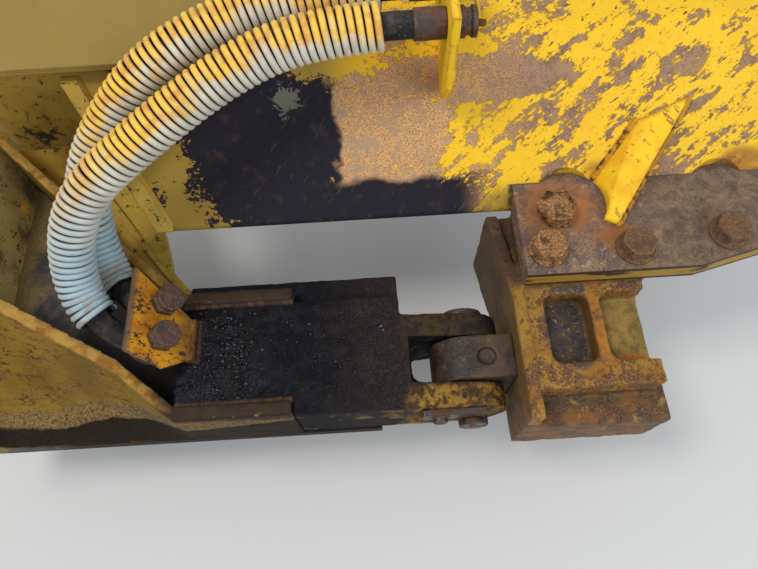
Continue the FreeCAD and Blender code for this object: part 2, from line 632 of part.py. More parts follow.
build_fork()
build_arm_walls()
build_arm_plates()
build_pin()
build_bracket()
beam_shape = build_beam()
build_bolts()
build_hose_plates(beam_shape)
build_fittings()
build_hoses()

doc.recompute()
for thing in doc.Objects:
    if any(word in ("Invalid", "Error") for word in thing.State):
        raise RuntimeError(f"{thing.Name}: {thing.State}")
os.makedirs("parts", exist_ok=True)
for thing in pieces:
    shape = thing.Shape
    if shape.isNull() or not shape.isValid():
        raise RuntimeError(f"{thing.Label}: no valid shape")
    print(thing.Label, len(shape.Solids), round(shape.Volume))
    shape.exportStep(f"parts/{thing.Label}.step")
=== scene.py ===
import json
import math

import bmesh
import bpy
import numpy as np
from mathutils import Matrix, Vector, noise

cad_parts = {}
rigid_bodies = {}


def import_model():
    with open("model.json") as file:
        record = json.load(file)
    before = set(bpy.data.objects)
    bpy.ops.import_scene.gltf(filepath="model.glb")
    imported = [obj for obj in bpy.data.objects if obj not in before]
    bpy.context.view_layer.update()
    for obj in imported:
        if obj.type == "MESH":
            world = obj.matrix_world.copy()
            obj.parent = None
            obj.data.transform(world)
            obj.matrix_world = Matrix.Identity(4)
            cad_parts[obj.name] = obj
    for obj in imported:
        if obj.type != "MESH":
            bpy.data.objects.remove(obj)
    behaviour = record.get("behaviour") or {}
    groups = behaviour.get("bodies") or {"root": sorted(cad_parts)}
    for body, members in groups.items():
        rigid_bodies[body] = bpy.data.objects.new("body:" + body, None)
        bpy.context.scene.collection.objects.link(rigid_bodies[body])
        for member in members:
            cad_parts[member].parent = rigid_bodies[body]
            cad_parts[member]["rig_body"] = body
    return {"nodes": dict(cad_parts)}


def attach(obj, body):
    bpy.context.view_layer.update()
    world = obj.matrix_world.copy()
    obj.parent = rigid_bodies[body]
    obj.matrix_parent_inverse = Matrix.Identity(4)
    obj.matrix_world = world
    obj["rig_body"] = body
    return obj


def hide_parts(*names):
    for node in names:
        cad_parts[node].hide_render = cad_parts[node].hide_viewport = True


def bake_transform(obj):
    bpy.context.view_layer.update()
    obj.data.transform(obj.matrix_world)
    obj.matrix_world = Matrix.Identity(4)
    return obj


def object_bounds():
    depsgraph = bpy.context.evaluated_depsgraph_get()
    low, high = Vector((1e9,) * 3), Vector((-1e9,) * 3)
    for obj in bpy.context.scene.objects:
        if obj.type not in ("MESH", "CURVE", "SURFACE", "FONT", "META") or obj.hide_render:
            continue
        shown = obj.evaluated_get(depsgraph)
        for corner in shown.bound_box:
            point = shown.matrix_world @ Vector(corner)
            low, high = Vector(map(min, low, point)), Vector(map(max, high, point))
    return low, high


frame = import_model()
solids = frame["nodes"]
cad_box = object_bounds()
shop = bpy.context.scene.collection

# Places are taken from the hinge pin in millimetres, as the solids are drawn, and become metres here

HINGE = Vector((0.0, -0.43, -0.16))


def from_pin(along, inboard, up):
    return HINGE + Vector((along, inboard, up)) / 1000


# The photograph's camera, as it was worked out from the picture

PHOTO_WIDTH = 758
FOCAL_PIXELS = 595
SENSOR_WIDTH = 36
LOOKS_DOWN = math.radians(65)
TILTED = math.radians(3.5)
EYE = from_pin(-105, -219, 736)

# Studio: lamps are given by place, width and colour

ROOM_COLOUR = (0.93, 0.96, 1.0, 1)
ROOM_STRENGTH = 0.56
BACKDROP = (0.9, 0.9, 0.9, 1)
FLOOR_COLOUR = (0.72, 0.72, 0.71, 1)
FLOOR_HALF = 6
ARM_DROP = 0.15
LAMPS = {
    "key": ((-1.0, -0.45, 2.0), 0.6, (1.0, 0.96, 0.9)),
    "fill": ((1.4, -1.6, 1.2), 1.6, (0.9, 0.95, 1.0)),
}
LAMP_WATTS = 20
LIT_PLACE = Vector((-0.05, -0.3, -0.05))


# Small helpers for nodes, objects and meshes

class Wiring:
    """Adds nodes to a tree and joins them as it goes."""

    def __init__(self, tree):
        self.tree = tree

    def feed(self, socket, value):
        if isinstance(value, bpy.types.NodeSocket):
            self.tree.links.new(value, socket)
        else:
            socket.default_value = value

    def node(self, kind, inputs=(), **settings):
        node = self.tree.nodes.new(kind)
        for key, value in settings.items():
            setattr(node, key, value)
        for key, value in dict(inputs).items():
            self.feed(node.inputs[key], value)
        return node

    def take(self, kind, inputs=(), **settings):
        """The first output of a new node."""
        return self.node(kind, inputs, **settings).outputs[0]

    def maths(self, operation, *values, held=False):
        return self.take("ShaderNodeMath", enumerate(values), operation=operation, use_clamp=held)

    def vectors(self, operation, *values):
        return self.node("ShaderNodeVectorMath", enumerate(values), operation=operation)


def placed(name, data):
    thing = bpy.data.objects.new(name, data)
    shop.objects.link(thing)
    return thing


def mesh_of(name, points, edges=(), faces=()):
    mesh = bpy.data.meshes.new(name)
    mesh.from_pydata([tuple(point) for point in points], edges, faces)
    return mesh


def mesh_from(shape, name):
    """A bmesh as a mesh. The bmesh is then freed."""
    mesh = bpy.data.meshes.new(name)
    shape.to_mesh(mesh)
    shape.free()
    return mesh


def plain_mesh(thing, name):
    """What a modified or curved object shows, as a mesh of its own. The object is then removed."""
    bpy.context.view_layer.update()
    seen = thing.evaluated_get(bpy.context.evaluated_depsgraph_get())
    mesh = bpy.data.meshes.new_from_object(seen)
    mesh.name = name
    bpy.data.objects.remove(thing)
    return mesh


def points_of(mesh, what="co"):
    """A mesh's points, or the normals there, as rows of three."""
    rows = np.empty(len(mesh.vertices) * 3, np.float64)
    mesh.vertices.foreach_get(what, rows)
    return rows.reshape(-1, 3)


def keep(name, mesh, body, finish, smooth=True):
    """A finished mesh as a piece of its own that rides on a body."""
    thing = placed(name, mesh)
    mesh.materials.clear()
    mesh.materials.append(finish)
    mesh.polygons.foreach_set("use_smooth", [smooth] * len(mesh.polygons))
    mesh.update()
    if body:
        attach(thing, body)
    return thing


# Camera, studio light and floor

def aim_camera():
    """The photograph's place: above the arm, looking down and inboard, with a slight tilt."""
    ahead = Vector((0, math.cos(LOOKS_DOWN), -math.sin(LOOKS_DOWN)))
    level_up = Vector((0, math.sin(LOOKS_DOWN), math.cos(LOOKS_DOWN)))
    level_right = Vector((1, 0, 0))
    right = level_right * math.cos(TILTED) - level_up * math.sin(TILTED)
    up = level_right * math.sin(TILTED) + level_up * math.cos(TILTED)
    camera = placed("camera", bpy.data.cameras.new("camera"))
    camera.data.sensor_width = SENSOR_WIDTH
    camera.data.lens = SENSOR_WIDTH * FOCAL_PIXELS / PHOTO_WIDTH
    camera.data.clip_start = 0.01
    turned = Matrix((right, up, -ahead)).transposed().to_4x4()
    camera.matrix_world = Matrix.Translation(EYE) @ turned
    bpy.context.scene.camera = camera


def light_studio():
    """A pale room that fills every side, a lamp high on the left and a wider one on the right."""
    world = bpy.data.worlds.new("studio")
    world.use_nodes = True
    w = Wiring(world.node_tree)
    room = world.node_tree.nodes["Background"]
    w.feed(room.inputs["Color"], ROOM_COLOUR)
    w.feed(room.inputs["Strength"], ROOM_STRENGTH)
    backdrop = w.take("ShaderNodeBackground", {"Color": BACKDROP})
    rays = w.node("ShaderNodeLightPath").outputs
    seen = rays["Is Camera Ray"]
    for kind in ("Is Glossy Ray", "Is Transmission Ray"):
        seen = w.maths("MAXIMUM", seen, rays[kind])
    choice = w.take("ShaderNodeMixShader", {0: seen, 1: room.outputs[0], 2: backdrop})
    w.feed(world.node_tree.nodes["World Output"].inputs["Surface"], choice)
    bpy.context.scene.world = world
    for name, (place, wide, colour) in LAMPS.items():
        lamp = bpy.data.lights.new(name, "AREA")
        lamp.energy = LAMP_WATTS
        lamp.size = wide
        lamp.color = colour
        holder = placed(name, lamp)
        holder.location = place
        holder.rotation_euler = (LIT_PLACE - Vector(place)).to_track_quat("-Z", "Y").to_euler()
    bpy.context.scene.view_settings.view_transform = "Standard"


def lay_floor():
    """The floor lies below the lowest place that the arm's far end swings down to."""
    low = cad_box[0].z - ARM_DROP
    square = ((-1, -1), (1, -1), (1, 1), (-1, 1))
    mesh = mesh_of("floor", [(FLOOR_HALF * x, FLOOR_HALF * y, low) for x, y in square],
                   faces=[(0, 1, 2, 3)])
    paper = bpy.data.materials.new("floor_paper")
    paper.use_nodes = True
    sheet = paper.node_tree.nodes["Principled BSDF"]
    sheet.inputs["Base Color"].default_value = FLOOR_COLOUR
    sheet.inputs["Roughness"].default_value = 0.9
    mesh.materials.append(paper)
    placed("floor", mesh)


# Finishes: each is a set of nodes worked out on the object's own metres

def tint(red, green, blue):
    """A paint-card colour, 0 to 255, as the shader takes it."""
    def straight(value):
        value /= 255
        return value / 12.92 if value <= 0.04045 else ((value + 0.055) / 1.055) ** 2.4
    return straight(red), straight(green), straight(blue), 1.0


class Finish(Wiring):
    """A material's nodes. Its helpers give numbers and colours that vary from place to place."""

    def __init__(self, name):
        self.material = bpy.data.materials.new(name)
        self.material.use_nodes = True
        super().__init__(self.material.node_tree)
        self.shader = self.tree.nodes["Principled BSDF"].inputs
        self.place = self.node("ShaderNodeTexCoord").outputs["Object"]
        self.x, self.y, self.z = self.parts(self.place)

    def parts(self, vector):
        return self.node("ShaderNodeSeparateXYZ", {0: vector}).outputs

    def run(self, operation, first, *others):
        for other in others:
            first = self.maths(operation, first, other)
        return first

    def sum(self, *values):
        return self.run("ADD", *values)

    def times(self, *values):
        return self.run("MULTIPLY", *values)

    def most(self, *values):
        return self.run("MAXIMUM", *values)

    def against(self, value):
        return self.maths("SUBTRACT", 1.0, value)

    def between(self, value, low, high, start=0.0, end=1.0):
        """A soft step: the start value below low, the end value above high."""
        return self.take("ShaderNodeMapRange", {
            "Value": value, "From Min": low, "From Max": high, "To Min": start, "To Max": end},
            interpolation_type="SMOOTHSTEP")

    def below(self, value, low, high):
        """One below low and nought above high."""
        return self.against(self.between(value, low, high))

    def within(self, value, rise, fall):
        """One from the rise to the fall, each a soft step given by its two ends."""
        return self.times(self.between(value, *rise), self.below(value, *fall))

    def shifted(self, shift=(0, 0, 0), turn=(0, 0, 0), stretch=(1, 1, 1), vector=None):
        """The place moved, turned in degrees and stretched, in that order."""
        moved = self.vectors("SUBTRACT", vector or self.place, shift).outputs[0]
        turned = self.take("ShaderNodeMapping", {
            "Vector": moved, "Rotation": [math.radians(angle) for angle in turn]},
            vector_type="POINT")
        return self.vectors("MULTIPLY", turned, stretch).outputs[0]

    def near(self, centre, reach):
        """One at a place and nought a reach away from it along each axis."""
        away = self.vectors("LENGTH", self.shifted(centre, stretch=[1 / r for r in reach]))
        return self.maths("SUBTRACT", 1.0, away.outputs["Value"], held=True)

    def cloud(self, scale, detail=3.0, rough=0.55, vector=None, bend=0.0):
        return self.take("ShaderNodeTexNoise", {
            "Vector": vector or self.place, "Scale": scale, "Detail": detail,
            "Roughness": rough, "Distortion": bend})

    def sway(self, cloud, reach):
        """A cloud as a shift to both sides."""
        return self.times(self.sum(cloud, -0.5), reach)

    def ragged(self, value, scale, detail, reach):
        """A value that a cloud adds to, so that a step in it has a ragged outline."""
        return self.sum(value, self.times(self.cloud(scale, detail), reach))

    def paint_left(self, bias, scale, torn=0.5, vector=None):
        """About a half where paint meets bare metal in ragged chips, and more where paint is left."""
        broad = self.cloud(scale, 5, 0.62, vector, 0.4)
        fine = self.cloud(scale * 7, 3, 0.6, vector)
        return self.sum(broad, self.sway(fine, torn), bias)

    def facing(self, way):
        """How far the surface faces a way, minus one to one."""
        normal = self.node("ShaderNodeTexCoord").outputs["Normal"]
        return self.vectors("DOT_PRODUCT", normal, Vector(way).normalized()).outputs["Value"]

    def toward(self, way, low, high):
        return self.between(self.facing(way), low, high)

    def soft_normal(self, radius):
        return self.take("ShaderNodeBevel", {"Radius": radius}, samples=4)

    def edges(self, radius):
        """One along sharp edges, worked out from how a bevel would turn the surface."""
        true = self.node("ShaderNodeNewGeometry").outputs["Normal"]
        turned = self.vectors("DOT_PRODUCT", self.soft_normal(radius), true)
        return self.between(self.against(turned.outputs["Value"]), 0.01, 0.12)

    def corners(self, reach, low=0.35, high=0.8):
        """One in inside corners and covered places."""
        open_air = self.node("ShaderNodeAmbientOcclusion", {"Distance": reach}, samples=6,
                             only_local=True)
        return self.below(open_air.outputs["AO"], low, high)

    def blend(self, share, first, second):
        return self.node("ShaderNodeMix", {0: share, 6: first, 7: second},
                         data_type="RGBA").outputs[2]

    def coats(self, colour, *coats):
        """Coats over a colour: each a value, the ends of its step, its colour and its most share."""
        for value, low, high, over, *most in coats:
            colour = self.blend(self.between(value, low, high, 0, *most), colour, over)
        return colour

    def grimed_and_shaded(self, colour, reach, share, grime_and_shade):
        """Grime and painted shade in the inside corners."""
        return self.blend(self.times(self.corners(reach), share), colour, grime_and_shade)

    def scuffed(self, colour, radius, cloud, share, rubbed, *only):
        """Rubbed edges, broken by a cloud: its scale and detail and the two ends of its step."""
        scale, detail, low, high = cloud
        broken = self.between(self.cloud(scale, detail), low, high)
        return self.blend(self.times(self.edges(radius), broken, *only, share), colour, rubbed)

    def done(self, colour, roughness, height, deep, round_by=None, metallic=0.0, gloss=0.2):
        """The material with bumps so many metres deep, over edges rounded by a radius."""
        bump = self.node("ShaderNodeBump", {"Strength": 1.0, "Distance": deep, "Height": height})
        if round_by:
            self.feed(bump.inputs["Normal"], self.soft_normal(round_by))
        for name, value in {"Base Color": colour, "Roughness": roughness, "Metallic": metallic,
                            "Specular IOR Level": gloss, "Normal": bump.outputs[0]}.items():
            self.feed(self.shader[name], value)
        return self.material


# The held side: beam, covers, bracket, gusset and bolts

def bare_hull(f, flat, grain, mottle):
    """Steel where the beam's paint has gone: blue-black in front and low down as painted shade,
    rust-brown behind as painted sunlight.
    """
    scored = f.shifted(turn=(0, 0, -52), stretch=(0.16, 1.5, 1), vector=flat)
    smear = f.between(f.sum(f.times(f.near((-0.203, -0.15, 0.035), (0.032, 0.03, 0.03)), 0.45),
                            f.cloud(85, 5, 0.7, bend=0.8)), 0.72, 0.75)
    # The bare steel as in shade: painted shade makes it blue-black
    front = f.coats(tint(31, 29, 39),
                    (f.sum(mottle, f.times(grain, 0.4)), 0.72, 0.98, tint(70, 53, 48)),
                    (f.cloud(150, 2, vector=scored), 0.68, 0.71, tint(98, 84, 68), 0.4))
    front = f.blend(f.times(smear, 0.8), front, tint(118, 118, 104))
    dull = f.coats(tint(122, 98, 86),
                   (f.sum(mottle, f.times(grain, 0.5)), 0.6, 0.9, tint(168, 134, 104)))
    # The same bare steel as in sunlight: painted sunlight makes it lighter and rust-brown
    behind = f.coats(tint(172, 134, 98),
                     (grain, 0.4, 0.6, tint(234, 180, 118)),
                     (mottle, 0.46, 0.66, tint(184, 152, 122)),
                     (f.cloud(700, 2), 0.6, 0.7, tint(112, 82, 64)),
                     (f.sum(f.x, f.times(mottle, 0.1)), 0.07, 0.15, dull, 0.85))
    # Where the sunlit copy shows: painted sunlight behind and high up, painted shade elsewhere
    sunlit_rust_share = f.between(f.ragged(f.x, 30, 3, 0.05), -0.125, -0.115)
    upper = f.between(f.ragged(f.z, 26, 3, 0.02), -0.03, -0.022)
    return f.blend(f.times(sunlit_rust_share, f.most(upper, f.between(f.x, 0.0, 0.06))), front, behind)


def hull_yellow(f, rim, raked, right):
    """The beam's paint: darker in front as painted shade, lighter behind as painted sunlight, duller
    at its foot, rusted round the chips.
    """
    dust = f.cloud(14, 4, 0.6)
    foot = f.below(f.ragged(f.z, 30, 3, 0.03), -0.045, -0.03)
    # Painted sunlight on the yellow behind. In front, and at its foot, the duller yellow of the
    # painted shade shows
    painted_sunlight = f.times(f.between(f.x, -0.17, -0.09), f.against(f.times(foot, 0.8)))
    yellow = f.blend(painted_sunlight, f.blend(dust, tint(168, 138, 58), tint(150, 122, 50)),
                     f.coats(tint(250, 200, 40), (dust, 0.5, 0.85, tint(244, 182, 34))))
    yellow = f.blend(f.times(rim, 0.6), yellow, tint(112, 70, 30))
    rust_spots = f.between(f.cloud(300, 2), 0.6, 0.72)
    yellow = f.blend(f.times(rust_spots, 0.4), yellow, tint(158, 96, 44))
    specks = f.between(f.cloud(100, 3, vector=raked), 0.66, 0.68)
    return f.blend(f.times(specks, right), yellow, tint(112, 86, 66))


def ledge_rust(f, spots):
    """The bolted ledge: grey-brown, warm by the first bolts, soiled toward its end."""
    warm = f.most(f.near((0.12, -0.27, -0.048), (0.075, 0.06, 0.1)),
                  f.near((0.185, -0.315, -0.048), (0.05, 0.03, 0.05)))
    rust = f.coats(tint(112, 94, 88),
                   (spots, 0.42, 0.6, tint(142, 116, 92)),
                   (f.cloud(420, 3, 0.7), 0.5, 0.68, tint(66, 54, 50)),
                   (f.cloud(95, 4, 0.6), 0.56, 0.68, tint(176, 148, 122), 0.8))
    rust = f.blend(f.times(f.between(warm, 0.1, 0.7), f.between(spots, 0.34, 0.52)), rust,
                   f.blend(spots, tint(128, 82, 54), tint(186, 124, 70)))
    dirty = f.between(f.ragged(f.x, 24, 4, 0.12), 0.25, 0.32)
    soil = f.coats(tint(92, 77, 67),
                   (f.cloud(75, 5, 0.75, bend=0.6), 0.36, 0.66, tint(142, 118, 94)))
    rust = f.blend(f.times(dirty, 0.8), rust, soil)
    grit = f.between(f.cloud(460, 3, 0.7), 0.52, 0.66)
    rust = f.blend(f.times(dirty, grit, 0.7), rust, tint(72, 59, 52))
    olive = f.ragged(f.near((0.2, -0.33, -0.048), (0.03, 0.035, 0.05)), 60, 4, 0.7)
    rust = f.coats(rust, (olive, 0.62, 0.7, tint(150, 122, 56)))
    scraped = f.between(f.cloud(40, 4, vector=f.shifted(stretch=(0.3, 1, 1))), 0.34, 0.44)
    band = f.times(f.within(f.z, (-0.0725, -0.07), (-0.056, -0.053)), scraped)
    lip = f.blend(band, tint(62, 48, 42), tint(168, 132, 48))
    return f.coats(rust, (f.facing((0, -1, 0)), 0.5, 0.8, lip))


def hull_paint():
    """The beam: its sloped face, the scoops cut into it and the ledge along its foot."""
    f = Finish("hull_paint")
    # the sloped face laid flat, then turned so that the chips run across it
    flat = f.shifted(turn=(-45, 0, 0))
    raked = f.shifted(turn=(0, 0, -38), stretch=(0.5, 1.6, 1), vector=flat)
    bare_patch = f.most(f.near((-0.235, -0.19, 0.0), (0.125, 0.11, 0.11)),
                        f.near((-0.15, -0.245, -0.06), (0.2, 0.055, 0.055)))
    brown_patch = f.most(f.near((-0.09, -0.175, 0.01), (0.095, 0.08, 0.08)),
                         f.near((0.0, -0.142, 0.043), (0.15, 0.03, 0.03)))
    right = f.between(f.x, -0.1, 0.02)
    bias = f.sum(f.times(f.between(f.x, -0.36, -0.25, 0.13, 0.05), f.against(right)),
                 f.times(right, 0.036), f.times(bare_patch, -0.75), f.times(brown_patch, -0.62))
    left = f.sum(f.times(f.paint_left(bias, 26), f.against(f.times(right, 0.6))),
                 f.times(f.paint_left(bias, 30, 0.38, raked), f.times(right, 0.6)))
    paint = f.between(left, 0.487, 0.497)
    rim = f.within(left, (0.47, 0.49), (0.5, 0.525))
    grain = f.cloud(520, 3, 0.7)
    mottle = f.cloud(60, 4, 0.6)
    face = f.blend(paint, bare_hull(f, flat, grain, mottle), hull_yellow(f, rim, raked, right))

    scoops = f.most(f.near((0.17, -0.252, -0.034), (0.032, 0.045, 0.024)),
                    f.near((0.352, -0.24, -0.034), (0.05, 0.04, 0.03)))
    soiled = f.sum(f.cloud(80, 4), f.times(f.between(f.x, 0.28, 0.3), 0.14))
    scoop_paint = f.coats(tint(222, 150, 34), (soiled, 0.4, 0.62, tint(156, 100, 38)))
    face = f.coats(face, (scoops, 0.05, 0.4, scoop_paint, 0.85))

    ledge = f.times(f.below(f.z, -0.0478, -0.046), f.between(f.x, 0.06, 0.066))
    spots = f.cloud(46, 5, 0.66, bend=0.5)
    underside = f.coats(tint(92, 74, 48), (mottle, 0.4, 0.6, tint(60, 48, 40)))
    colour = f.blend(ledge, face, ledge_rust(f, spots))
    colour = f.coats(colour, (f.facing((0, 0.35, -1)), 0.4, 0.9, underside))
    # Grime and painted shade in the inside corners
    colour = f.grimed_and_shaded(colour, 0.03, 0.6, tint(33, 30, 33))
    colour = f.scuffed(colour, 0.003, (60, 4, 0.4, 0.6), 0.6, tint(126, 96, 66))
    height = f.sum(f.times(paint, 0.35), f.times(grain, f.against(f.times(paint, 0.85)), 0.5),
                   f.times(f.cloud(9, 3), 0.8), f.times(ledge, spots, 0.9))
    rough = f.sum(f.times(paint, -0.22), f.times(mottle, 0.2), 0.66)
    return f.done(colour, rough, height, 0.0012, 0.0022)


def shaded_paint():
    """The nose's and the corner's yellow, darker as painted shade, with small chips."""
    f = Finish("shaded_paint")
    clear = f.between(f.z, 0.078, 0.084)
    flaked = f.near((-0.598, -0.031, -0.14), (0.05, 0.03, 0.035))
    small = f.sum(f.paint_left(0.14, 70, 0.6), f.times(clear, 0.14), f.times(flaked, -0.24))
    large = f.paint_left(f.times(clear, 0.2), 17)
    paint = f.times(f.between(small, 0.49, 0.497), f.between(large, 0.32, 0.33))
    dust = f.cloud(10, 4, 0.6)
    # The yellow as in shade: painted shade, its tone varied by dust
    yellow = f.coats(tint(196, 164, 72), (dust, 0.35, 0.65, tint(170, 138, 56)))
    # The deck's top darker still: painted shade
    yellow = f.blend(f.times(clear, 0.85), yellow, tint(140, 118, 62))
    yellow = f.coats(yellow, (f.cloud(40, 5, 0.7), 0.6, 0.85, tint(140, 106, 48), 0.6))
    colour = f.blend(paint, f.blend(f.cloud(240, 3), tint(40, 34, 40), tint(92, 66, 48)), yellow)
    # Grime and painted shade in the inside corners
    colour = f.grimed_and_shaded(colour, 0.02, 0.6, tint(64, 50, 32))
    colour = f.scuffed(colour, 0.002, (80, 4, 0.35, 0.6), 0.5, tint(120, 88, 54))
    height = f.sum(f.times(paint, 0.4), f.times(f.cloud(300, 2), 0.15), f.times(dust, 0.8))
    return f.done(colour, f.sum(0.5, f.times(dust, 0.2)), height, 0.0009, 0.0016)


def pocket_soil(f, colour, grain, wander):
    """Dark soil in the first pocket and above it, and olive dust in the second."""
    upward = f.toward((0, 0, 1), 0.3, 0.75)
    slantwise = f.times(f.maths("ABSOLUTE", f.sum(f.y, 0.415)), -0.35)
    first = f.times(f.between(f.sum(f.x, wander, slantwise), 0.082, 0.092),
                    f.below(f.sum(f.x, f.times(wander, 0.3)), 0.143, 0.149),
                    f.between(f.sum(f.y, wander), -0.46, -0.45))
    soil = f.coats(tint(58, 56, 64),
                   (f.cloud(90, 4), 0.42, 0.6, tint(86, 72, 58)),
                   (f.cloud(260, 2), 0.62, 0.68, tint(142, 128, 108)))
    second = f.times(f.between(f.x, 0.157, 0.162), f.between(f.y, -0.456, -0.45),
                     f.below(f.z, -0.112, -0.106))
    dust = f.coats(tint(152, 126, 66), (f.cloud(50, 4), 0.42, 0.62, tint(118, 98, 54)))
    dust = f.blend(f.between(f.sum(f.y, f.times(wander, 0.5)), -0.445, -0.435),
                   tint(178, 104, 36), dust)
    dust = f.coats(dust, (grain, 0.57, 0.68, tint(96, 76, 48)))
    colour = f.blend(f.times(first, upward, 0.92), colour, soil)
    return f.blend(f.times(second, 0.9), colour, dust)


def bracket_paint():
    """The cast bracket: ochre paint worn to granular rust, soiled in its pockets."""
    f = Finish("bracket_paint")
    left = f.paint_left(0.05, 30, 0.55)
    paint = f.between(left, 0.49, 0.505)
    rim = f.within(left, (0.47, 0.49), (0.51, 0.55))
    grain = f.cloud(430, 3, 0.7)
    broad = f.cloud(20, 4, 0.6)
    yellow = f.coats(tint(160, 122, 52),
                     (broad, 0.38, 0.62, tint(142, 98, 40)),
                     (f.cloud(90, 4), 0.5, 0.7, tint(106, 76, 44)),
                     (grain, 0.56, 0.68, tint(88, 66, 44)))
    bare = f.coats(tint(86, 62, 52), (grain, 0.4, 0.62, tint(142, 104, 68)))
    colour = f.blend(f.times(rim, 0.6), f.blend(paint, bare, yellow), tint(88, 54, 36))
    rib = f.times(f.within(f.x, (0.142, 0.147), (0.16, 0.165)), f.between(f.y, -0.47, -0.455))
    rib_rust = f.between(f.cloud(70, 4), 0.36, 0.56, 0.1, 0.7)
    colour = f.blend(f.times(rib, rib_rust), colour, tint(176, 112, 40))
    wander = f.sway(f.cloud(34, 4), 0.05)
    colour = pocket_soil(f, colour, grain, wander)

    inboard = f.between(f.ragged(f.y, 40, 4, 0.03), -0.35, -0.33)
    toe = f.times(f.below(f.sum(f.z, f.times(wander, 0.3)), -0.122, -0.114),
                  f.below(f.y, -0.478, -0.472))
    toe_rust = f.coats(tint(78, 64, 54),
                       (f.cloud(46, 4), 0.42, 0.6, tint(124, 82, 48)),
                       (grain, 0.52, 0.66, tint(140, 108, 66)),
                       (f.cloud(60, 5, 0.65), 0.58, 0.66, tint(166, 124, 56)))
    # Painted shade: the faces turned to the left and down are darker rust-brown
    painted_shade_side = f.toward((-1, -0.2, -0.3), 0.25, 0.9)
    rust_in_painted_shade = f.blend(broad, tint(66, 55, 42), tint(122, 94, 58))
    colour = f.blend(f.times(inboard, 0.8), colour, tint(62, 50, 46))
    colour = f.blend(f.times(toe, 0.9), colour, toe_rust)
    colour = f.blend(f.times(painted_shade_side, 0.72), colour, rust_in_painted_shade)
    # Grime and painted shade in the inside corners
    colour = f.grimed_and_shaded(colour, 0.03, 0.6, tint(44, 34, 28))
    colour = f.scuffed(colour, 0.005, (46, 4, 0.38, 0.6), 0.7, tint(206, 156, 66), f.against(toe))
    height = f.sum(f.times(paint, 0.5), f.times(grain, f.against(f.times(paint, 0.7)), 0.7),
                   f.times(f.cloud(60, 4), 1.0))
    return f.done(colour, f.sum(0.72, f.times(paint, -0.12)), height, 0.0014)


def gusset_paint():
    """The gusset and the upper hose plate: fresh yellow, rubbed to rust along their edges."""
    f = Finish("gusset_paint")
    scratches = f.shifted(turn=(0, 0, 60), stretch=(0.5, 2.2, 1))
    top = f.toward((0, -0.3, 1), 0.82, 0.93)
    left = f.sum(f.paint_left(0.2, 34, 0.55, scratches), f.times(top, -0.07))
    paint = f.between(left, 0.49, 0.5)
    yellow = f.coats(tint(255, 208, 44),
                     (f.cloud(26, 4), 0.4, 0.7, tint(244, 184, 40)),
                     (f.cloud(200, 3), 0.6, 0.75, tint(176, 112, 38), 0.8))
    colour = f.blend(paint, f.blend(f.cloud(400, 3), tint(150, 98, 62), tint(204, 142, 84)), yellow)
    rubbed = f.blend(f.cloud(150, 3), tint(196, 116, 38), tint(118, 76, 52))
    colour = f.scuffed(colour, 0.006, (60, 4, 0.36, 0.54), 0.75, rubbed)
    # Painted shade: the faces turned to the right and outboard are darker olive
    away = f.toward((0.87, -0.5, 0), 0.5, 0.9)
    colour = f.blend(f.times(away, 0.7), colour, tint(110, 82, 40))
    height = f.sum(f.times(paint, 0.4), f.times(f.cloud(400, 3), 0.3), f.times(f.cloud(40, 3), 0.8))
    return f.done(colour, 0.52, height, 0.0011)


def rusted_bolt():
    f = Finish("rusted_bolt")
    grain = f.cloud(380, 4, 0.7)
    broad = f.cloud(70, 4)
    colour = f.coats(tint(116, 80, 54),
                     (grain, 0.4, 0.62, tint(186, 138, 88)),
                     (broad, 0.5, 0.66, tint(88, 64, 50)))
    darker = f.blend(grain, tint(52, 42, 38), tint(124, 98, 76))
    colour = f.blend(f.times(f.between(f.x, 0.15, 0.17), 0.75), colour, darker)
    # Grime and painted shade in the inside corners
    colour = f.grimed_and_shaded(colour, 0.012, 0.8, tint(40, 28, 24))
    colour = f.scuffed(colour, 0.003, (120, 3, 0.4, 0.6), 0.5, tint(188, 140, 88))
    return f.done(colour, 0.82, f.sum(grain, f.times(broad, 0.8)), 0.0012)


# The arm's side: walls, floor, flange, block and lower hose plate

def wall_yellow(f, paint, streaks, outboard):
    """The walls' yellow, darker as painted shade, streaked and cracked, over bare steel."""
    crack = f.cloud(5, 4, vector=f.shifted(stretch=(1, 5, 9)))
    cracked = f.within(crack, (0.488, 0.497), (0.5, 0.508))
    # The yellow as in shade: painted shade
    yellow = f.coats(tint(138, 110, 46),
                     (f.cloud(12, 4), 0.35, 0.65, tint(112, 88, 40)),
                     (f.cloud(34, 5, 0.7, streaks), 0.54, 0.74, tint(84, 64, 36)))
    yellow = f.blend(f.times(cracked, outboard, 0.8), yellow, tint(58, 44, 30))
    bare = f.coats(tint(92, 68, 46), (f.cloud(420, 3, 0.7), 0.4, 0.6, tint(150, 110, 62)))
    return f.blend(paint, bare, yellow)


def rubbed_foot(f, colour, outboard):
    """A rubbed band over a black strip along the outboard foot, level and then climbing. The black
    strip is grease and painted shade.
    """
    climb = f.times(f.most(f.sum(f.x, 0.53), 0.0), -0.22)
    lift = f.sum(f.z, climb, f.sway(f.cloud(26, 4), 0.009))
    widened = f.sum(lift, f.times(f.sum(f.x, 0.6), -0.08))
    granular = f.coats(tint(92, 74, 50),
                       (f.cloud(640, 3, 0.75), 0.42, 0.6, tint(158, 130, 84)),
                       (f.cloud(210, 4, 0.7), 0.5, 0.6, tint(74, 60, 44)))
    black = f.blend(f.cloud(120, 4), tint(15, 14, 15), tint(34, 29, 26))
    band = f.times(outboard, f.below(widened, -0.191, -0.187))
    # The black strip: grease and painted shade
    strip = f.times(outboard, f.below(lift, -0.2, -0.1975))
    return f.blend(f.times(strip, 0.95), f.blend(f.times(band, 0.85), colour, granular), black)


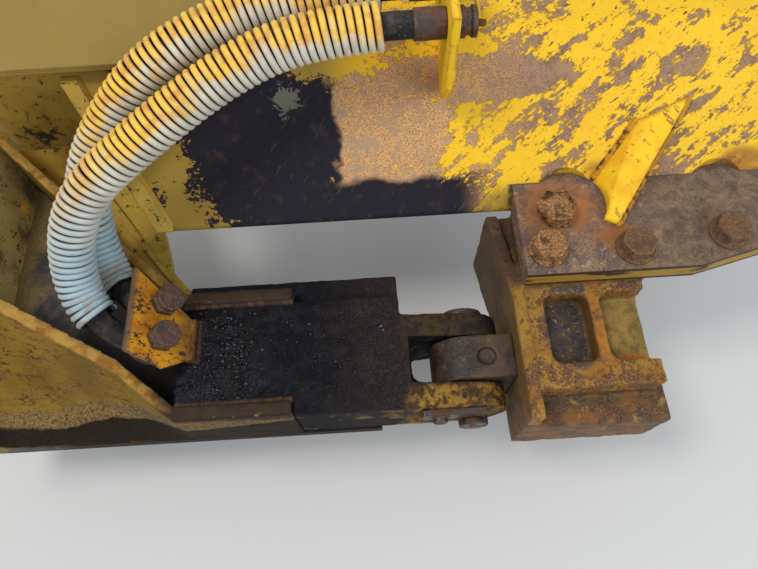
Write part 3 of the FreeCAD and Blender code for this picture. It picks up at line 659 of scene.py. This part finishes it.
def arm_wall_paint():
    """The walls: yellow in front, darker as painted shade; greasy toward the block; dust inside the
    arm, painted pale as painted light.
    """
    f = Finish("arm_wall_paint")
    streaks = f.shifted(stretch=(0.3, 1, 1.6))
    paint = f.between(f.paint_left(0.09, 44, vector=streaks), 0.487, 0.5)
    outboard = f.toward((0, -1, 0.3), 0.32, 0.45)
    ragged_x = f.sum(f.x, f.sway(f.cloud(26, 4), 0.11))
    below_rim = f.below(f.z, -0.122, -0.112)
    greasy = f.between(f.sum(ragged_x, f.times(outboard, below_rim, -0.16)), -0.395, -0.35)
    colour = rubbed_foot(f, wall_yellow(f, paint, streaks, outboard), outboard)
    # dust inside the arm, painted pale as painted light, turns to grey and then to grease nearer the
    # hoses
    inside = f.against(f.most(outboard, f.toward((0, 0, 1), 0.75, 0.95)))
    dust = f.coats(tint(226, 196, 120), (f.cloud(24, 5, 0.65), 0.42, 0.66, tint(186, 158, 96)))
    grey = f.coats(tint(96, 92, 86), (f.cloud(60, 5, 0.7), 0.4, 0.62, tint(130, 116, 84)))
    colour = f.blend(f.times(inside, 0.85), colour, dust)
    colour = f.blend(f.times(inside, f.between(ragged_x, -0.58, -0.49), 0.85), colour, grey)
    # The top rim lighter: painted sunlight on the yellow, with orange patches
    rim = f.times(f.toward((0, 0, 1), 0.72, 0.95), f.between(f.z, -0.116, -0.112))
    sunlit_rim_paint = f.coats(tint(178, 142, 70), (f.cloud(50, 4), 0.4, 0.65, tint(146, 96, 42)))
    colour = f.blend(rim, colour, sunlit_rim_paint)
    grease = f.blend(f.cloud(90, 4), tint(28, 25, 27), tint(58, 46, 40))
    # Grease toward the block, and grease colour with painted shade in the inside corners
    dirt = f.most(f.times(greasy, 0.95), f.times(f.corners(0.03, 0.2, 0.6), 0.7))
    colour = f.blend(dirt, colour, grease)
    flecks = f.times(outboard, greasy, f.between(f.cloud(150, 4, 0.7), 0.6, 0.66))
    colour = f.blend(f.times(flecks, 0.75), colour, tint(150, 116, 66))
    colour = f.scuffed(colour, 0.003, (50, 4, 0.4, 0.6), 0.6, tint(206, 150, 56),
                       f.against(greasy), f.below(f.x, -0.43, -0.37))
    height = f.sum(f.times(paint, 0.3), f.times(f.cloud(420, 3), 0.35),
                   f.times(f.cloud(30, 3), 0.9))
    return f.done(colour, f.sum(0.66, f.times(greasy, -0.1)), height, 0.0012, gloss=0.08)


def end_flange_paint():
    """The flange across the arm's end: yellow under dust, its inner face painted pale as painted
    light, smeared with grease inside.
    """
    f = Finish("end_flange_paint")
    paint = f.between(f.paint_left(0.14, 40), 0.487, 0.5)
    broad = f.cloud(16, 4, 0.6)
    # The inner face: dust, painted pale as painted light
    inner = f.toward((1, 0, 0), 0.5, 0.8)
    dust_and_painted_light = f.coats(tint(250, 222, 142), (broad, 0.38, 0.64, tint(232, 200, 122)))
    yellow = f.blend(inner, f.blend(broad, tint(224, 178, 66), tint(188, 142, 50)), dust_and_painted_light)
    yellow = f.coats(yellow, (f.cloud(70, 4), 0.54, 0.72, tint(176, 148, 92), 0.8))
    colour = f.blend(paint, f.blend(f.cloud(300, 3), tint(72, 54, 42), tint(120, 84, 52)), yellow)
    smeared = f.times(inner, f.between(f.sum(broad, f.times(f.z, -2.0)), 0.88, 1.02))
    colour = f.blend(f.times(smeared, 0.8), colour, tint(112, 106, 98))
    # Grime and painted shade in the inside corners
    colour = f.grimed_and_shaded(colour, 0.012, 0.5, tint(72, 58, 42))
    colour = f.scuffed(colour, 0.003, (60, 4, 0.4, 0.6), 0.6, tint(206, 150, 70))
    height = f.sum(f.times(paint, 0.3), f.times(f.cloud(400, 3), 0.3), f.times(broad, 0.9))
    return f.done(colour, 0.66, height, 0.0012)


def floor_dust():
    """The arm's floor: yellow dust at the front, grey and then black with grease by the block."""
    f = Finish("floor_dust")
    ragged_x = f.sum(f.x, f.sway(f.cloud(20, 4), 0.12))
    grain = f.cloud(360, 3, 0.7)
    grey = f.coats(tint(70, 68, 72), (f.cloud(70, 5, 0.7), 0.4, 0.62, tint(98, 90, 82)))
    black = f.blend(f.cloud(80, 4), tint(24, 22, 25), tint(44, 38, 36))
    underside = f.coats(tint(84, 66, 44), (grain, 0.4, 0.6, tint(60, 48, 38)))
    colour = f.coats(tint(136, 118, 80),
                     (grain, 0.42, 0.6, tint(168, 146, 94)),
                     (ragged_x, -0.635, -0.59, grey),
                     (ragged_x, -0.575, -0.51, black),
                     (f.facing((0, 0, -1)), 0.4, 0.8, underside))
    colour = f.blend(f.times(f.edges(0.003), 0.5), colour, tint(96, 78, 50))
    return f.done(colour, 0.72, f.sum(f.times(grain, 0.4), f.cloud(40, 4)), 0.0014)


def oily_dirt(f, lumps, fine, wet_and_glint):
    """What is packed on the block: blue-black, browner toward the tines, flecked on its flank, with
    painted bluish glints on its damp patches.
    """
    earth = f.coats(tint(42, 36, 35), (fine, 0.45, 0.65, tint(66, 55, 48)))
    brown = f.between(f.ragged(f.x, 22, 4, 0.08), -0.16, -0.06)
    dirt = f.coats(tint(17, 18, 24),
                   (lumps, 0.4, 0.65, tint(33, 31, 34)),
                   (fine, 0.6, 0.75, tint(62, 55, 52), 0.6))
    # Painted glints: bluish specks on the damp patches
    dirt = f.blend(f.times(wet_and_glint, f.between(fine, 0.52, 0.64, 0, 0.7)), dirt, tint(50, 56, 74))
    dirt = f.blend(f.times(brown, 0.7), dirt, earth)
    chips = f.between(f.cloud(38, 4, 0.7, f.shifted(stretch=(0.5, 1, 1))), 0.57, 0.62)
    flecks = f.times(f.toward((0, -1, 0), 0.5, 0.9), chips)
    return f.blend(f.times(flecks, 0.7), dirt, tint(128, 100, 52))


def greased_forging():
    """The arm's forged block: packed with oily dirt, with paint left only round the tines."""
    f = Finish("greased_forging")
    lumps = f.cloud(60, 5, 0.7, bend=0.6)
    fine = f.cloud(330, 3, 0.7)
    by_plate = f.near((-0.32, -0.43, -0.108), (0.1, 0.1, 0.1))
    # Damp patches, most by the plate: lower roughness, and painted glints in the colour
    wet_and_glint = f.between(f.sum(f.cloud(34, 4), f.times(by_plate, 0.35)), 0.55, 0.68)
    tine = f.between(f.ragged(f.x, 30, 4, 0.05), -0.065, -0.035)
    outer = f.below(f.y, -0.468, -0.458)
    ochre = f.blend(f.between(f.cloud(120, 4), 0.42, 0.58), tint(160, 122, 50), tint(84, 60, 40))
    ochre = f.coats(ochre, (fine, 0.54, 0.68, tint(66, 48, 36)))
    worn = f.between(f.sum(f.cloud(30, 5, 0.65), f.times(f.facing((0, -0.3, 1)), 0.1)), 0.44, 0.54)
    colour = f.blend(f.times(tine, worn, f.sum(f.times(outer, 0.8), 0.12)),
                     oily_dirt(f, lumps, fine, wet_and_glint), ochre)
    colour = f.scuffed(colour, 0.006, (40, 4, 0.42, 0.6), f.sum(0.5, f.times(tine, outer, 0.4)),
                       f.blend(f.times(tine, outer), tint(48, 40, 37), tint(222, 168, 62)))
    # Grime and painted shade in the inside corners
    colour = f.grimed_and_shaded(colour, 0.03, 0.85, tint(17, 15, 17))
    # Near black inside the fork's slot: grease and painted shade
    slot = f.times(f.within(f.y, (-0.4595, -0.4585), (-0.4015, -0.4005)),
                   f.between(f.x, -0.0745, -0.0735))
    colour = f.blend(slot, colour, tint(13, 11, 12))
    height = f.sum(f.times(lumps, 1.2), f.times(fine, 0.35), f.times(f.cloud(150, 3), 0.5))
    rough = f.sum(0.62, f.times(wet_and_glint, -0.36), f.times(fine, 0.12))
    return f.done(colour, rough, height, 0.0022, gloss=0.08)


def hose_plate_paint():
    """The lower hose plate: orange-yellow with dark drips, scuffed along its edges."""
    f = Finish("hose_plate_paint")
    drips = f.between(f.cloud(95, 4, 0.65, f.shifted(turn=(0, 45, 0), stretch=(0.3, 1.8, 1))),
                      0.56, 0.61)
    outboard = f.below(f.y, -0.4, -0.37)
    paint = f.between(f.paint_left(0.14, 40), 0.49, 0.5)
    yellow = f.coats(tint(204, 142, 26),
                     (f.cloud(24, 4), 0.4, 0.62, tint(168, 106, 24)),
                     (f.cloud(170, 4, 0.7), 0.54, 0.66, tint(126, 72, 28)))
    colour = f.blend(paint, f.blend(f.cloud(300, 3), tint(52, 42, 38), tint(96, 62, 40)), yellow)
    colour = f.blend(f.times(drips, f.sum(0.2, f.times(outboard, 0.75))), colour, tint(58, 38, 30))
    front_rim = f.below(f.ragged(f.x, 60, 3, 0.006), -0.386, -0.38)
    downhill = f.between(f.ragged(f.x, 30, 3, 0.02), -0.345, -0.325)
    for share, most, soil in ((f.toward((-0.7, 0, -0.7), -0.1, 0.3), 0.9, tint(66, 62, 62)),
                              (front_rim, 0.8, tint(74, 66, 60)),
                              (downhill, 0.75, tint(78, 54, 32))):
        colour = f.blend(f.times(share, most), colour, soil)
    colour = f.scuffed(colour, 0.002, (90, 4, 0.4, 0.6), 0.8, tint(92, 82, 74))
    height = f.sum(f.times(paint, 0.4), f.times(f.cloud(240, 3), 0.3), f.times(f.cloud(50, 3), 0.6))
    return f.done(colour, 0.48, height, 0.001)


# The joint and the hoses: lug, pin, fittings, rubber and guards

def greasy_lug():
    f = Finish("greasy_lug")
    broad = f.cloud(24, 5, 0.62)
    fine = f.cloud(360, 3, 0.7)
    dust = f.between(f.sum(f.cloud(60, 5, 0.7), f.times(fine, 0.3)), 0.72, 0.86)
    colour = f.coats(tint(82, 62, 48), (broad, 0.4, 0.6, tint(44, 36, 34)))
    colour = f.blend(f.times(dust, 0.6), colour, tint(122, 98, 66))
    colour = f.coats(colour, (fine, 0.56, 0.7, tint(112, 84, 60)))
    colour = f.scuffed(colour, 0.004, (50, 3, 0.4, 0.6), 0.6, tint(130, 98, 66))
    # Grime and painted shade in the inside corners
    colour = f.grimed_and_shaded(colour, 0.02, 0.8, tint(24, 20, 20))
    rough = f.sum(0.6, f.times(broad, -0.2))
    return f.done(colour, rough, f.sum(f.times(fine, 0.4), broad), 0.0015, gloss=0.35)


def turned_steel():
    """Pin, bushing and keeper: dark steel with a film of rust and oil."""
    f = Finish("turned_steel")
    rings = f.cloud(60, 3, vector=f.shifted(stretch=(1, 9, 1)))
    spots = f.between(f.cloud(90, 4), 0.45, 0.62)
    steel = f.blend(rings, tint(62, 56, 54), tint(92, 84, 78))
    # Grime and painted shade in the inside corners
    colour = f.grimed_and_shaded(f.blend(spots, steel, tint(88, 62, 46)), 0.015, 0.7, tint(30, 26, 24))
    return f.done(colour, f.sum(0.34, f.times(spots, 0.4)), f.cloud(300, 3), 0.0006,
                  metallic=f.times(f.against(spots), 0.75))


def fitting_steel():
    f = Finish("fitting_steel")
    spots = f.cloud(80, 5, 0.65)
    grit = f.cloud(400, 3)
    colour = f.coats(tint(46, 36, 33),
                     (spots, 0.42, 0.58, tint(88, 52, 34)),
                     (grit, 0.55, 0.7, tint(116, 78, 50)))
    # Grime and painted shade in the inside corners
    colour = f.grimed_and_shaded(colour, 0.012, 0.8, tint(24, 20, 20))
    colour = f.scuffed(colour, 0.0015, (150, 3, 0.4, 0.6), 0.7, tint(140, 102, 62))
    return f.done(colour, 0.58, f.sum(spots, f.times(grit, 0.4)), 0.0008, gloss=0.6)


def hose_rubber():
    f = Finish("hose_rubber")
    dust = f.cloud(60, 5, 0.65)
    colour = f.coats(tint(34, 33, 34),
                     (dust, 0.42, 0.7, tint(78, 72, 64)),
                     (f.cloud(300, 3), 0.62, 0.75, tint(104, 94, 78)))
    return f.done(colour, f.sum(0.55, f.times(dust, 0.2)), f.cloud(260, 3), 0.0004)


def guard_plastic():
    """Pale spiral guard: yellow overspray on the side that faced the spray, with dirt and painted
    shade between turns.
    """
    f = Finish("guard_plastic")
    along = f.node("ShaderNodeAttribute", attribute_name="along").outputs["Fac"]
    crest = f.node("ShaderNodeAttribute", attribute_name="crest").outputs["Fac"]
    outward = f.node("ShaderNodeAttribute", attribute_name="outward").outputs["Vector"]
    ahead, inboard, up = f.parts(outward)
    sprayed_side = f.sum(f.times(ahead, -0.5), f.times(up, 0.55), f.times(inboard, 0.1))
    spray = f.sum(sprayed_side, f.sway(f.cloud(26, 4, 0.6), 2.2),
                  f.times(f.between(along, 0.3, 0.5), 0.35), f.times(f.cloud(110, 3), 0.35))
    spray = f.times(f.between(spray, 0.38, 0.92),
                    f.sum(0.15, f.times(f.between(along, 0.2, 0.42), 0.85)))
    pale = f.coats(tint(226, 220, 202), (f.cloud(30, 3), 0.4, 0.65, tint(204, 198, 182)))
    cool = f.below(f.ragged(along, 9, 2, 0.25), 0.25, 0.5)
    pale = f.blend(f.times(cool, 0.9), pale, tint(160, 186, 198))
    yellow = f.coats(tint(250, 202, 62), (f.cloud(70, 4), 0.42, 0.66, tint(222, 160, 58)))
    colour = f.blend(f.times(spray, 0.9), pale, yellow)
    colour = f.coats(colour, (f.cloud(160, 4, 0.7), 0.6, 0.8, tint(150, 112, 66), 0.55))
    scuffed = f.times(f.below(along, 0.02, 0.09), f.between(f.cloud(60, 4), 0.4, 0.6))
    colour = f.blend(f.times(scuffed, 0.7), colour, tint(150, 132, 112))
    # Between the turns: dirt and painted shade
    colour = f.blend(f.below(crest, 0.0, 0.75), colour, tint(46, 38, 30))
    return f.done(colour, f.sum(0.42, f.times(spray, 0.15)), f.cloud(300, 3), 0.0004)


def weld_metal():
    f = Finish("weld_metal")
    base = f.coats(tint(58, 46, 40), (f.x, 0.0, 0.1, tint(206, 150, 46)))
    colour = f.coats(base, (f.cloud(80, 4), 0.5, 0.64, tint(92, 62, 42)))
    return f.done(colour, 0.66, f.cloud(300, 3), 0.0008)


def oily_crumbs():
    f = Finish("oily_crumbs")
    # The bluish specks are painted glints
    colour = f.coats(tint(16, 15, 17),
                     (f.cloud(170, 3), 0.42, 0.62, tint(46, 37, 32)),
                     (f.cloud(110, 2), 0.64, 0.7, tint(84, 94, 118)))
    shine = f.between(f.cloud(60, 3), 0.4, 0.62, 0.14, 0.6)
    return f.done(colour, shine, f.cloud(500, 2), 0.0006, gloss=0.35)


# Geometry Nodes: guards, weld beads and crumbs follow a rule

class Grower(Wiring):
    """A Geometry Nodes tree with the inputs it is given, each a kind and a starting value."""

    def __init__(self, name, sizes):
        super().__init__(bpy.data.node_groups.new(name, "GeometryNodeTree"))
        self.tree.is_modifier = True
        sockets = self.tree.interface.new_socket
        sockets("Geometry", in_out="INPUT", socket_type="NodeSocketGeometry")
        sockets("Geometry", in_out="OUTPUT", socket_type="NodeSocketGeometry")
        for label, (kind, start) in sizes.items():
            sockets(label, in_out="INPUT", socket_type=f"NodeSocket{kind}").default_value = start
        sockets("Finish", in_out="INPUT", socket_type="NodeSocketMaterial")
        self.given = self.node("NodeGroupInput").outputs
        self.result = self.node("NodeGroupOutput").inputs[0]

    def chance(self, low, high):
        """A random number for each place, from the tree's seed."""
        return self.node("FunctionNodeRandomValue", {2: low, 3: high, "Seed": self.given["Seed"]},
                         data_type="FLOAT").outputs[1]

    def any_turn(self):
        """A random turn for each place, from the tree's seed."""
        return self.take("FunctionNodeRandomValue", {
            0: (0, 0, 0), 1: (6.28, 6.28, 6.28), "Seed": self.given["Seed"]},
            data_type="FLOAT_VECTOR")

    def noted(self, geometry, name, value, kind="FLOAT"):
        """The geometry with a value kept on its points, for its finish to read."""
        return self.take("GeometryNodeStoreNamedAttribute", {
            "Geometry": geometry, "Name": name, "Value": value}, data_type=kind, domain="POINT")

    def strewn(self, places, thing, size, turn):
        return self.take("GeometryNodeInstanceOnPoints", {
            "Points": places, "Instance": thing, "Rotation": turn, "Scale": size})

    def done(self, geometry):
        """The tree, ending in real meshes with their finish."""
        real = self.take("GeometryNodeRealizeInstances", {"Geometry": geometry})
        dressed = self.take("GeometryNodeSetMaterial", {"Geometry": real,
                                                        "Material": self.given["Finish"]})
        self.feed(self.result, dressed)
        return self.tree


def grown(name, seed_mesh, tree, **inputs):
    """What a Geometry Nodes tree makes of a mesh, as a plain mesh."""
    thing = placed(name, seed_mesh)
    modifier = thing.modifiers.new(name, "NODES")
    modifier.node_group = tree
    sockets = {item.name: item.identifier for item in tree.interface.items_tree
               if item.in_out == "INPUT"}
    for label, value in inputs.items():
        modifier[sockets[label]] = value
    return plain_mesh(thing, name)


def line_mesh(name, points):
    return mesh_of(name, points, edges=[(i, i + 1) for i in range(len(points) - 1)])


# Hoses: each runs between two fittings along a smooth curve through given points

HOSES = {
    "front": [(-406.97, 38.7, 70.51), (-436, 50, 72), (-466, 102, 112), (-430, 152, 200),
              (-340, 198, 246), (-240, 248, 284), (-150, 272, 300), (-55, 272, 300)],
    "rear": [(-403.38, 86.97, 61.86), (-428, 104, 52), (-456, 156, 80), (-446, 200, 156),
             (-402, 240, 216), (-320, 280, 280), (-180, 330, 300), (-55, 330, 300)],
}
HOSE_RADIUS = 0.014
GUARD_STARTS = {"front": from_pin(-445, 64, 83), "rear": from_pin(-432, 111, 56)}
GUARD_END = from_pin(-85, 0, 0).x
GUARD_SIZES = {
    "Coil radius": ("Float", 0.0213), "Bead radius": ("Float", 0.0039),
    "Pitch": ("Float", 0.0088), "Steps a turn": ("Float", 30.0),
}


def route_curve(name, points, radius=0.0):
    """A smooth line along a hose's route, or a tube where it has a radius."""
    curve = bpy.data.curves.new(name, "CURVE")
    curve.dimensions = "3D"
    curve.bevel_depth = radius
    curve.bevel_resolution = 6
    curve.use_fill_caps = bool(radius)
    spline = curve.splines.new("NURBS")
    spline.points.add(len(points) - 1)
    for point, place in zip(spline.points, points):
        point.co = (*from_pin(*place), 1)
    spline.order_u = 3
    spline.use_endpoint_u = True
    spline.resolution_u = 14
    return plain_mesh(placed(name, curve), name)


def spiral_guard_tree():
    """A round bead wound along a path, one turn against the next."""
    g = Grower("spiral_guard", GUARD_SIZES)
    path = g.take("GeometryNodeMeshToCurve", {"Mesh": g.given["Geometry"]})
    length = g.take("GeometryNodeCurveLength", {"Curve": path})
    turns = g.maths("DIVIDE", length, g.given["Pitch"])
    steps = g.maths("MULTIPLY", turns, g.given["Steps a turn"])
    fine = g.take("GeometryNodeResampleCurve", {"Curve": path, "Count": steps}, mode="COUNT")
    run = g.node("GeometryNodeSplineParameter").outputs
    angle = g.maths("MULTIPLY", g.maths("DIVIDE", run["Length"], g.given["Pitch"]), math.tau)
    outward = g.take("ShaderNodeVectorRotate", {
        "Vector": g.take("GeometryNodeInputNormal"), "Axis": g.take("GeometryNodeInputTangent"),
        "Angle": angle}, rotation_type="AXIS_ANGLE")
    marked = g.noted(fine, "along", run["Factor"])
    marked = g.noted(marked, "outward", outward, "FLOAT_VECTOR")
    offset = g.take("ShaderNodeVectorMath", {0: outward, "Scale": g.given["Coil radius"]},
                    operation="SCALE")
    coil = g.take("GeometryNodeSetPosition", {"Geometry": marked, "Offset": offset})
    bead = g.take("GeometryNodeCurvePrimitiveCircle",
                  {"Resolution": 8, "Radius": g.given["Bead radius"]})
    swept = g.take("GeometryNodeCurveToMesh", {"Curve": coil, "Profile Curve": bead,
                                               "Fill Caps": True})
    outside = g.take("GeometryNodeInputNamedAttribute", {"Name": "outward"},
                     data_type="FLOAT_VECTOR")
    facing_out = g.vectors("DOT_PRODUCT", g.take("GeometryNodeInputNormal"), outside)
    return g.done(g.noted(swept, "crest", facing_out.outputs["Value"]))


def fit_hoses():
    """Both hoses and their guards, between their lower and upper fittings."""
    rubber, plastic = hose_rubber(), guard_plastic()
    tree = spiral_guard_tree()
    for name, points in HOSES.items():
        line = points_of(route_curve(f"{name}_route", points))
        hose = keep(f"{name}_hose", route_curve(f"{name}_hose", points, HOSE_RADIUS), None, rubber)
        first = int(np.argmin(np.linalg.norm(line - np.array(GUARD_STARTS[name]), axis=1)))
        last = int(np.argmin(np.abs(line[:, 0] - GUARD_END)))
        coil = grown(f"{name}_spiral_guard", line_mesh(f"{name}_guarded", line[first:last + 1]),
                     tree, Finish=plastic)
        guard = keep(f"{name}_spiral_guard", coil, None, plastic)
        for piece, slot in ((hose, "black_rubber"), (guard, "hose_guard")):
            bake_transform(piece)
        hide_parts(f"hose_{name}")
        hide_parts(f"guard_{name}")


# Castings, forgings and fittings: their solids worn round at the edges and lumpy with rust

MERGE = 1e-6
BROAD_DENTS = 45
FINE_DENTS = 170


def ramp(past, length):
    """Nought up to a place and one from a length past it."""
    return min(1.0, max(0.0, past / length))


def packed_dirt(here):
    """Dirt trodden and oiled onto the top of the block, thickest by the hose plate."""
    on_top = ramp(here.z + 0.112, 0.003)
    clear_of_tines = ramp(-0.085 - here.x, 0.02)
    thick = 0.0016 + 0.0026 * ramp(-0.27 - here.x, 0.07)
    lumpy = 0.5 + 1.1 * noise.noise(here * 60) + 0.6 * noise.noise(here * 210)
    return on_top * clear_of_tines * thick * lumpy


def eaten_head(here):
    """The boss in the first scoop, eaten away to a stump that is higher on one side."""
    from_boss = here - from_pin(112, 152, 138)
    if from_boss.length > 0.06:
        return 0.0
    return -0.0035 + 0.008 * noise.noise(here * 38) + 0.0022 * noise.noise(here * 150)


def worn_copy(node, name, slot, finish, grid, eased, broad, fine, extra=None):
    """A copy of a solid, remade on a grid, eased so many times and dented. It stands for the solid."""
    shape = bmesh.new()
    shape.from_mesh(solids[node].data)
    bmesh.ops.remove_doubles(shape, verts=shape.verts, dist=MERGE)
    thing = placed(name, mesh_from(shape, name))
    remade = thing.modifiers.new("remade", "REMESH")
    remade.mode = "VOXEL"
    remade.voxel_size = grid
    ease = thing.modifiers.new("ease", "SMOOTH")
    ease.factor = 0.5
    ease.iterations = eased
    mesh = plain_mesh(thing, name)
    places, normals = points_of(mesh), points_of(mesh, "normal")
    moved = np.empty((len(places), 1))
    for index, place in enumerate(places):
        here = Vector(place)
        moved[index] = noise.noise(here * BROAD_DENTS) * broad + noise.noise(here * FINE_DENTS) * fine
        if extra:
            moved[index] += extra(here)
    mesh.vertices.foreach_set("co", (places + normals * moved).ravel())
    piece = keep(name, mesh, solids[node]["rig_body"], finish)
    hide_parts(node)


def dress_castings():
    bolt, steel, fitting, walls = rusted_bolt(), turned_steel(), fitting_steel(), arm_wall_paint()
    # solid, worn copy, slot, finish, grid, times eased, depth of broad and of fine dents, other dents
    castings = (
        ("pivot_bracket", "worn_bracket", "worn_yellow", bracket_paint(), 0.0024, 5, 9e-4, 5e-4),
        ("arm_fork", "forged_block", "worn_casting", greased_forging(), 0.0026, 5, 7e-4, 5e-4,
         packed_dirt),
        ("pivot_lug", "worn_lug", "greasy_steel", greasy_lug(), 0.0016, 5, 5e-4, 2e-4),
        ("lug_bushing", "pressed_bushing", "bare_steel", steel, 0.001, 2, 1e-4, 1e-4),
        ("hinge_pin", "pin_with_head", "bare_steel", steel, 0.0012, 3, 1e-4, 1e-4),
        ("pin_keeper", "keeper_plate", "bare_steel", steel, 0.001, 3, 2e-4, 1e-4),
        ("ledge_bolts", "hex_bolts", "rusty_bolt", bolt, 0.001, 4, 9e-4, 6e-4),
        ("scoop_bolts", "eroded_bolts", "rusty_bolt", bolt, 0.0012, 4, 12e-4, 7e-4, eaten_head),
        ("ledge_gusset", "welded_gusset", "chipped_yellow", gusset_paint(), 0.0016, 4, 6e-4, 3e-4),
        ("arm_outer_wall", "folded_outer_wall", "shaded_yellow", walls, 0.0026, 4, 9e-4, 4e-4),
        ("arm_inner_wall", "folded_inner_wall", "shaded_yellow", walls, 0.0026, 4, 9e-4, 4e-4),
        ("arm_hose_plate", "leaning_plate", "worn_yellow", hose_plate_paint(), 0.0011, 3, 4e-4,
         2e-4),
        ("arm_fittings", "elbow_fittings", "rusty_bolt", fitting, 0.0011, 3, 4e-4, 2e-4),
        ("top_fittings", "straight_fittings", "rusty_bolt", fitting, 0.0012, 3, 4e-4, 2e-4),
    )
    for row in castings:
        worn_copy(*row)


# Weld beads and oily crumbs

def weld_tree():
    """Overlapping flat ripples along a path, as a welder lays them."""
    g = Grower("weld_bead", {"Ripple": ("Float", 0.0026), "Width": ("Float", 0.0042),
                             "Seed": ("Int", 5)})
    path = g.take("GeometryNodeMeshToCurve", {"Mesh": g.given["Geometry"]})
    spots = g.node("GeometryNodeCurveToPoints", {"Curve": path, "Length": g.given["Ripple"]},
                   mode="LENGTH").outputs
    drop = g.take("GeometryNodeMeshUVSphere", {"Segments": 8, "Rings": 5,
                                               "Radius": g.given["Width"]})
    flat = g.take("GeometryNodeTransform", {"Geometry": drop, "Scale": (1, 1, 0.6)})
    return g.done(g.strewn(spots["Points"], flat, g.chance(0.82, 1.15), spots["Rotation"]))


GUSSET_TIP = Vector((176, 134, 112))
GUSSET_WAY = Vector((0.5, 0.866, 0))
GUSSET_ACROSS = Vector((-0.866, 0.5, 0))
GUSSET_LONG = 170
PROUD = 1


def gusset_lines():
    """The gusset's two sides: the flared one up the sloped face, the upright one along both."""
    def at(reach, aside, up):
        place = GUSSET_TIP + GUSSET_WAY * reach + GUSSET_ACROSS * aside
        return from_pin(place.x, place.y, GUSSET_TIP.z + up)

    def half(reach):
        return 9 + 16 * reach / GUSSET_LONG

    flared = []
    for reach in (52, 66, 80, 94, 108, 118):
        tall = 6 + 64 * reach / GUSSET_LONG
        share = (tall + 63 - 0.866 * reach - 0.5 * half(reach)) / (1.5 * tall)
        flared.append(at(reach, half(reach) + tall * share + PROUD, tall * (1 - share) + PROUD))
    foot = [at(reach, -half(reach) - PROUD, PROUD) for reach in (2, 28, 56, 82)]
    upright = [at(reach, -half(reach) - PROUD, 0.819 * reach - 66) for reach in (100, 120, 140, 160)]
    return [flared, foot + upright]


def straight_line(start, end):
    """Three points from one place to another, in millimetres from the pin."""
    start, end = Vector(start), Vector(end)
    return [from_pin(*(start + (end - start) * share)) for share in (0, 0.5, 1)]


def lay_welds():
    """Beads round the gusset and the upper hose plate, the lower hose plate and the walls' feet."""
    tree, metal = weld_tree(), weld_metal()
    runs = {
        "main_frame": [*gusset_lines(),
                       straight_line((-10, 325, 250), (32, 325, 250)),
                       straight_line((-10, 326, 250), (-10, 364, 250))],
        "push_arm": [straight_line((-346, 63, 54), (-334, 63, 54)),
                     straight_line((-329, 10, 54), (-329, 62, 54)),
                     straight_line((-350, -41, 53), (-216, -41, 53)),
                     straight_line((-350, 83, 53), (-216, 83, 53))],
    }
    for body, lines in runs.items():
        beads = bmesh.new()
        for points in lines:
            beads.from_mesh(grown("bead", line_mesh("bead", points), tree, Finish=metal))
        keep(f"{body}_welds", mesh_from(beads, f"{body}_welds"), body, metal)


def crumb_tree():
    """Loose oily lumps scattered over a patch, each a rough ball of its own size."""
    g = Grower("crumbs", {"Density": ("Float", 60000.0), "Smallest": ("Float", 0.0008),
                          "Largest": ("Float", 0.0034), "Seed": ("Int", 11)})
    spots = g.take("GeometryNodeDistributePointsOnFaces", {
        "Mesh": g.given["Geometry"], "Density": g.given["Density"], "Seed": g.given["Seed"]},
        distribute_method="RANDOM")
    ball = g.take("GeometryNodeMeshIcoSphere", {"Radius": 1.0, "Subdivisions": 1})
    mostly_small = g.maths("POWER", g.chance(0.0, 1.0), 3.0)
    spread = g.maths("SUBTRACT", g.given["Largest"], g.given["Smallest"])
    radius = g.maths("ADD", g.maths("MULTIPLY", mostly_small, spread), g.given["Smallest"])
    squat = g.take("ShaderNodeVectorMath", {0: (1.0, 0.85, 0.65), "Scale": radius},
                   operation="SCALE")
    return g.done(g.strewn(spots, ball, squat, g.any_turn()))


def strew_crumbs():
    """Thick by the lower hose plate, thin over the rest of the block: corners, density and seed."""
    tree, oily = crumb_tree(), oily_crumbs()
    patches = {
        "plate_crumbs": ([(-332, -38, 54), (-268, -38, 54), (-262, 40, 54), (-300, 80, 54),
                          (-332, 80, 54)], 90000.0, 3),
        "block_crumbs": ([(-268, -38, 53), (-100, -38, 53), (-100, 78, 53), (-268, 78, 53)],
                         12000.0, 7),
    }
    for name, (corners, density, seed) in patches.items():
        patch = mesh_of(name, [from_pin(*corner) for corner in corners],
                        faces=[tuple(range(len(corners)))])
        crumbs = grown(name, patch, tree, Density=density, Seed=seed, Finish=oily)
        keep(name, crumbs, "push_arm", oily)


# Plates that keep their solids' shapes

def hang_apron(finish):
    """A bare plate that hangs from the nose and closes the gap behind the arm's corner."""
    low, high = from_pin(-698, 399, -34), from_pin(-468, 405, 236)
    shape = bmesh.new()
    bmesh.ops.create_cube(shape, size=1.0, matrix=Matrix.Translation((low + high) / 2)
                          @ Matrix.Diagonal((*(high - low), 1)))
    bmesh.ops.bevel(shape, geom=shape.edges[:], offset=0.0012, segments=2, affect="EDGES")
    keep("nose_apron", mesh_from(shape, "nose_apron"), "main_frame", finish, smooth=False)


def dress_plates():
    hull, shaded = hull_paint(), shaded_paint()
    hang_apron(shaded)
    for node, finish in {
        "side_beam": hull, "nose_cover": shaded, "nose_edge_bar": shaded,
        "arm_corner_plate": shaded, "corner_edge_bar": shaded, "arm_floor": floor_dust(),
        "arm_end_flange": end_flange_paint(), "top_hose_plate": gusset_paint(),
    }.items():
        slots = solids[node].material_slots
        if not slots:
            solids[node].data.materials.append(finish)
        for slot in slots:
            slot.material = finish


aim_camera()
light_studio()
lay_floor()
fit_hoses()
dress_castings()
dress_plates()
lay_welds()
strew_crumbs()
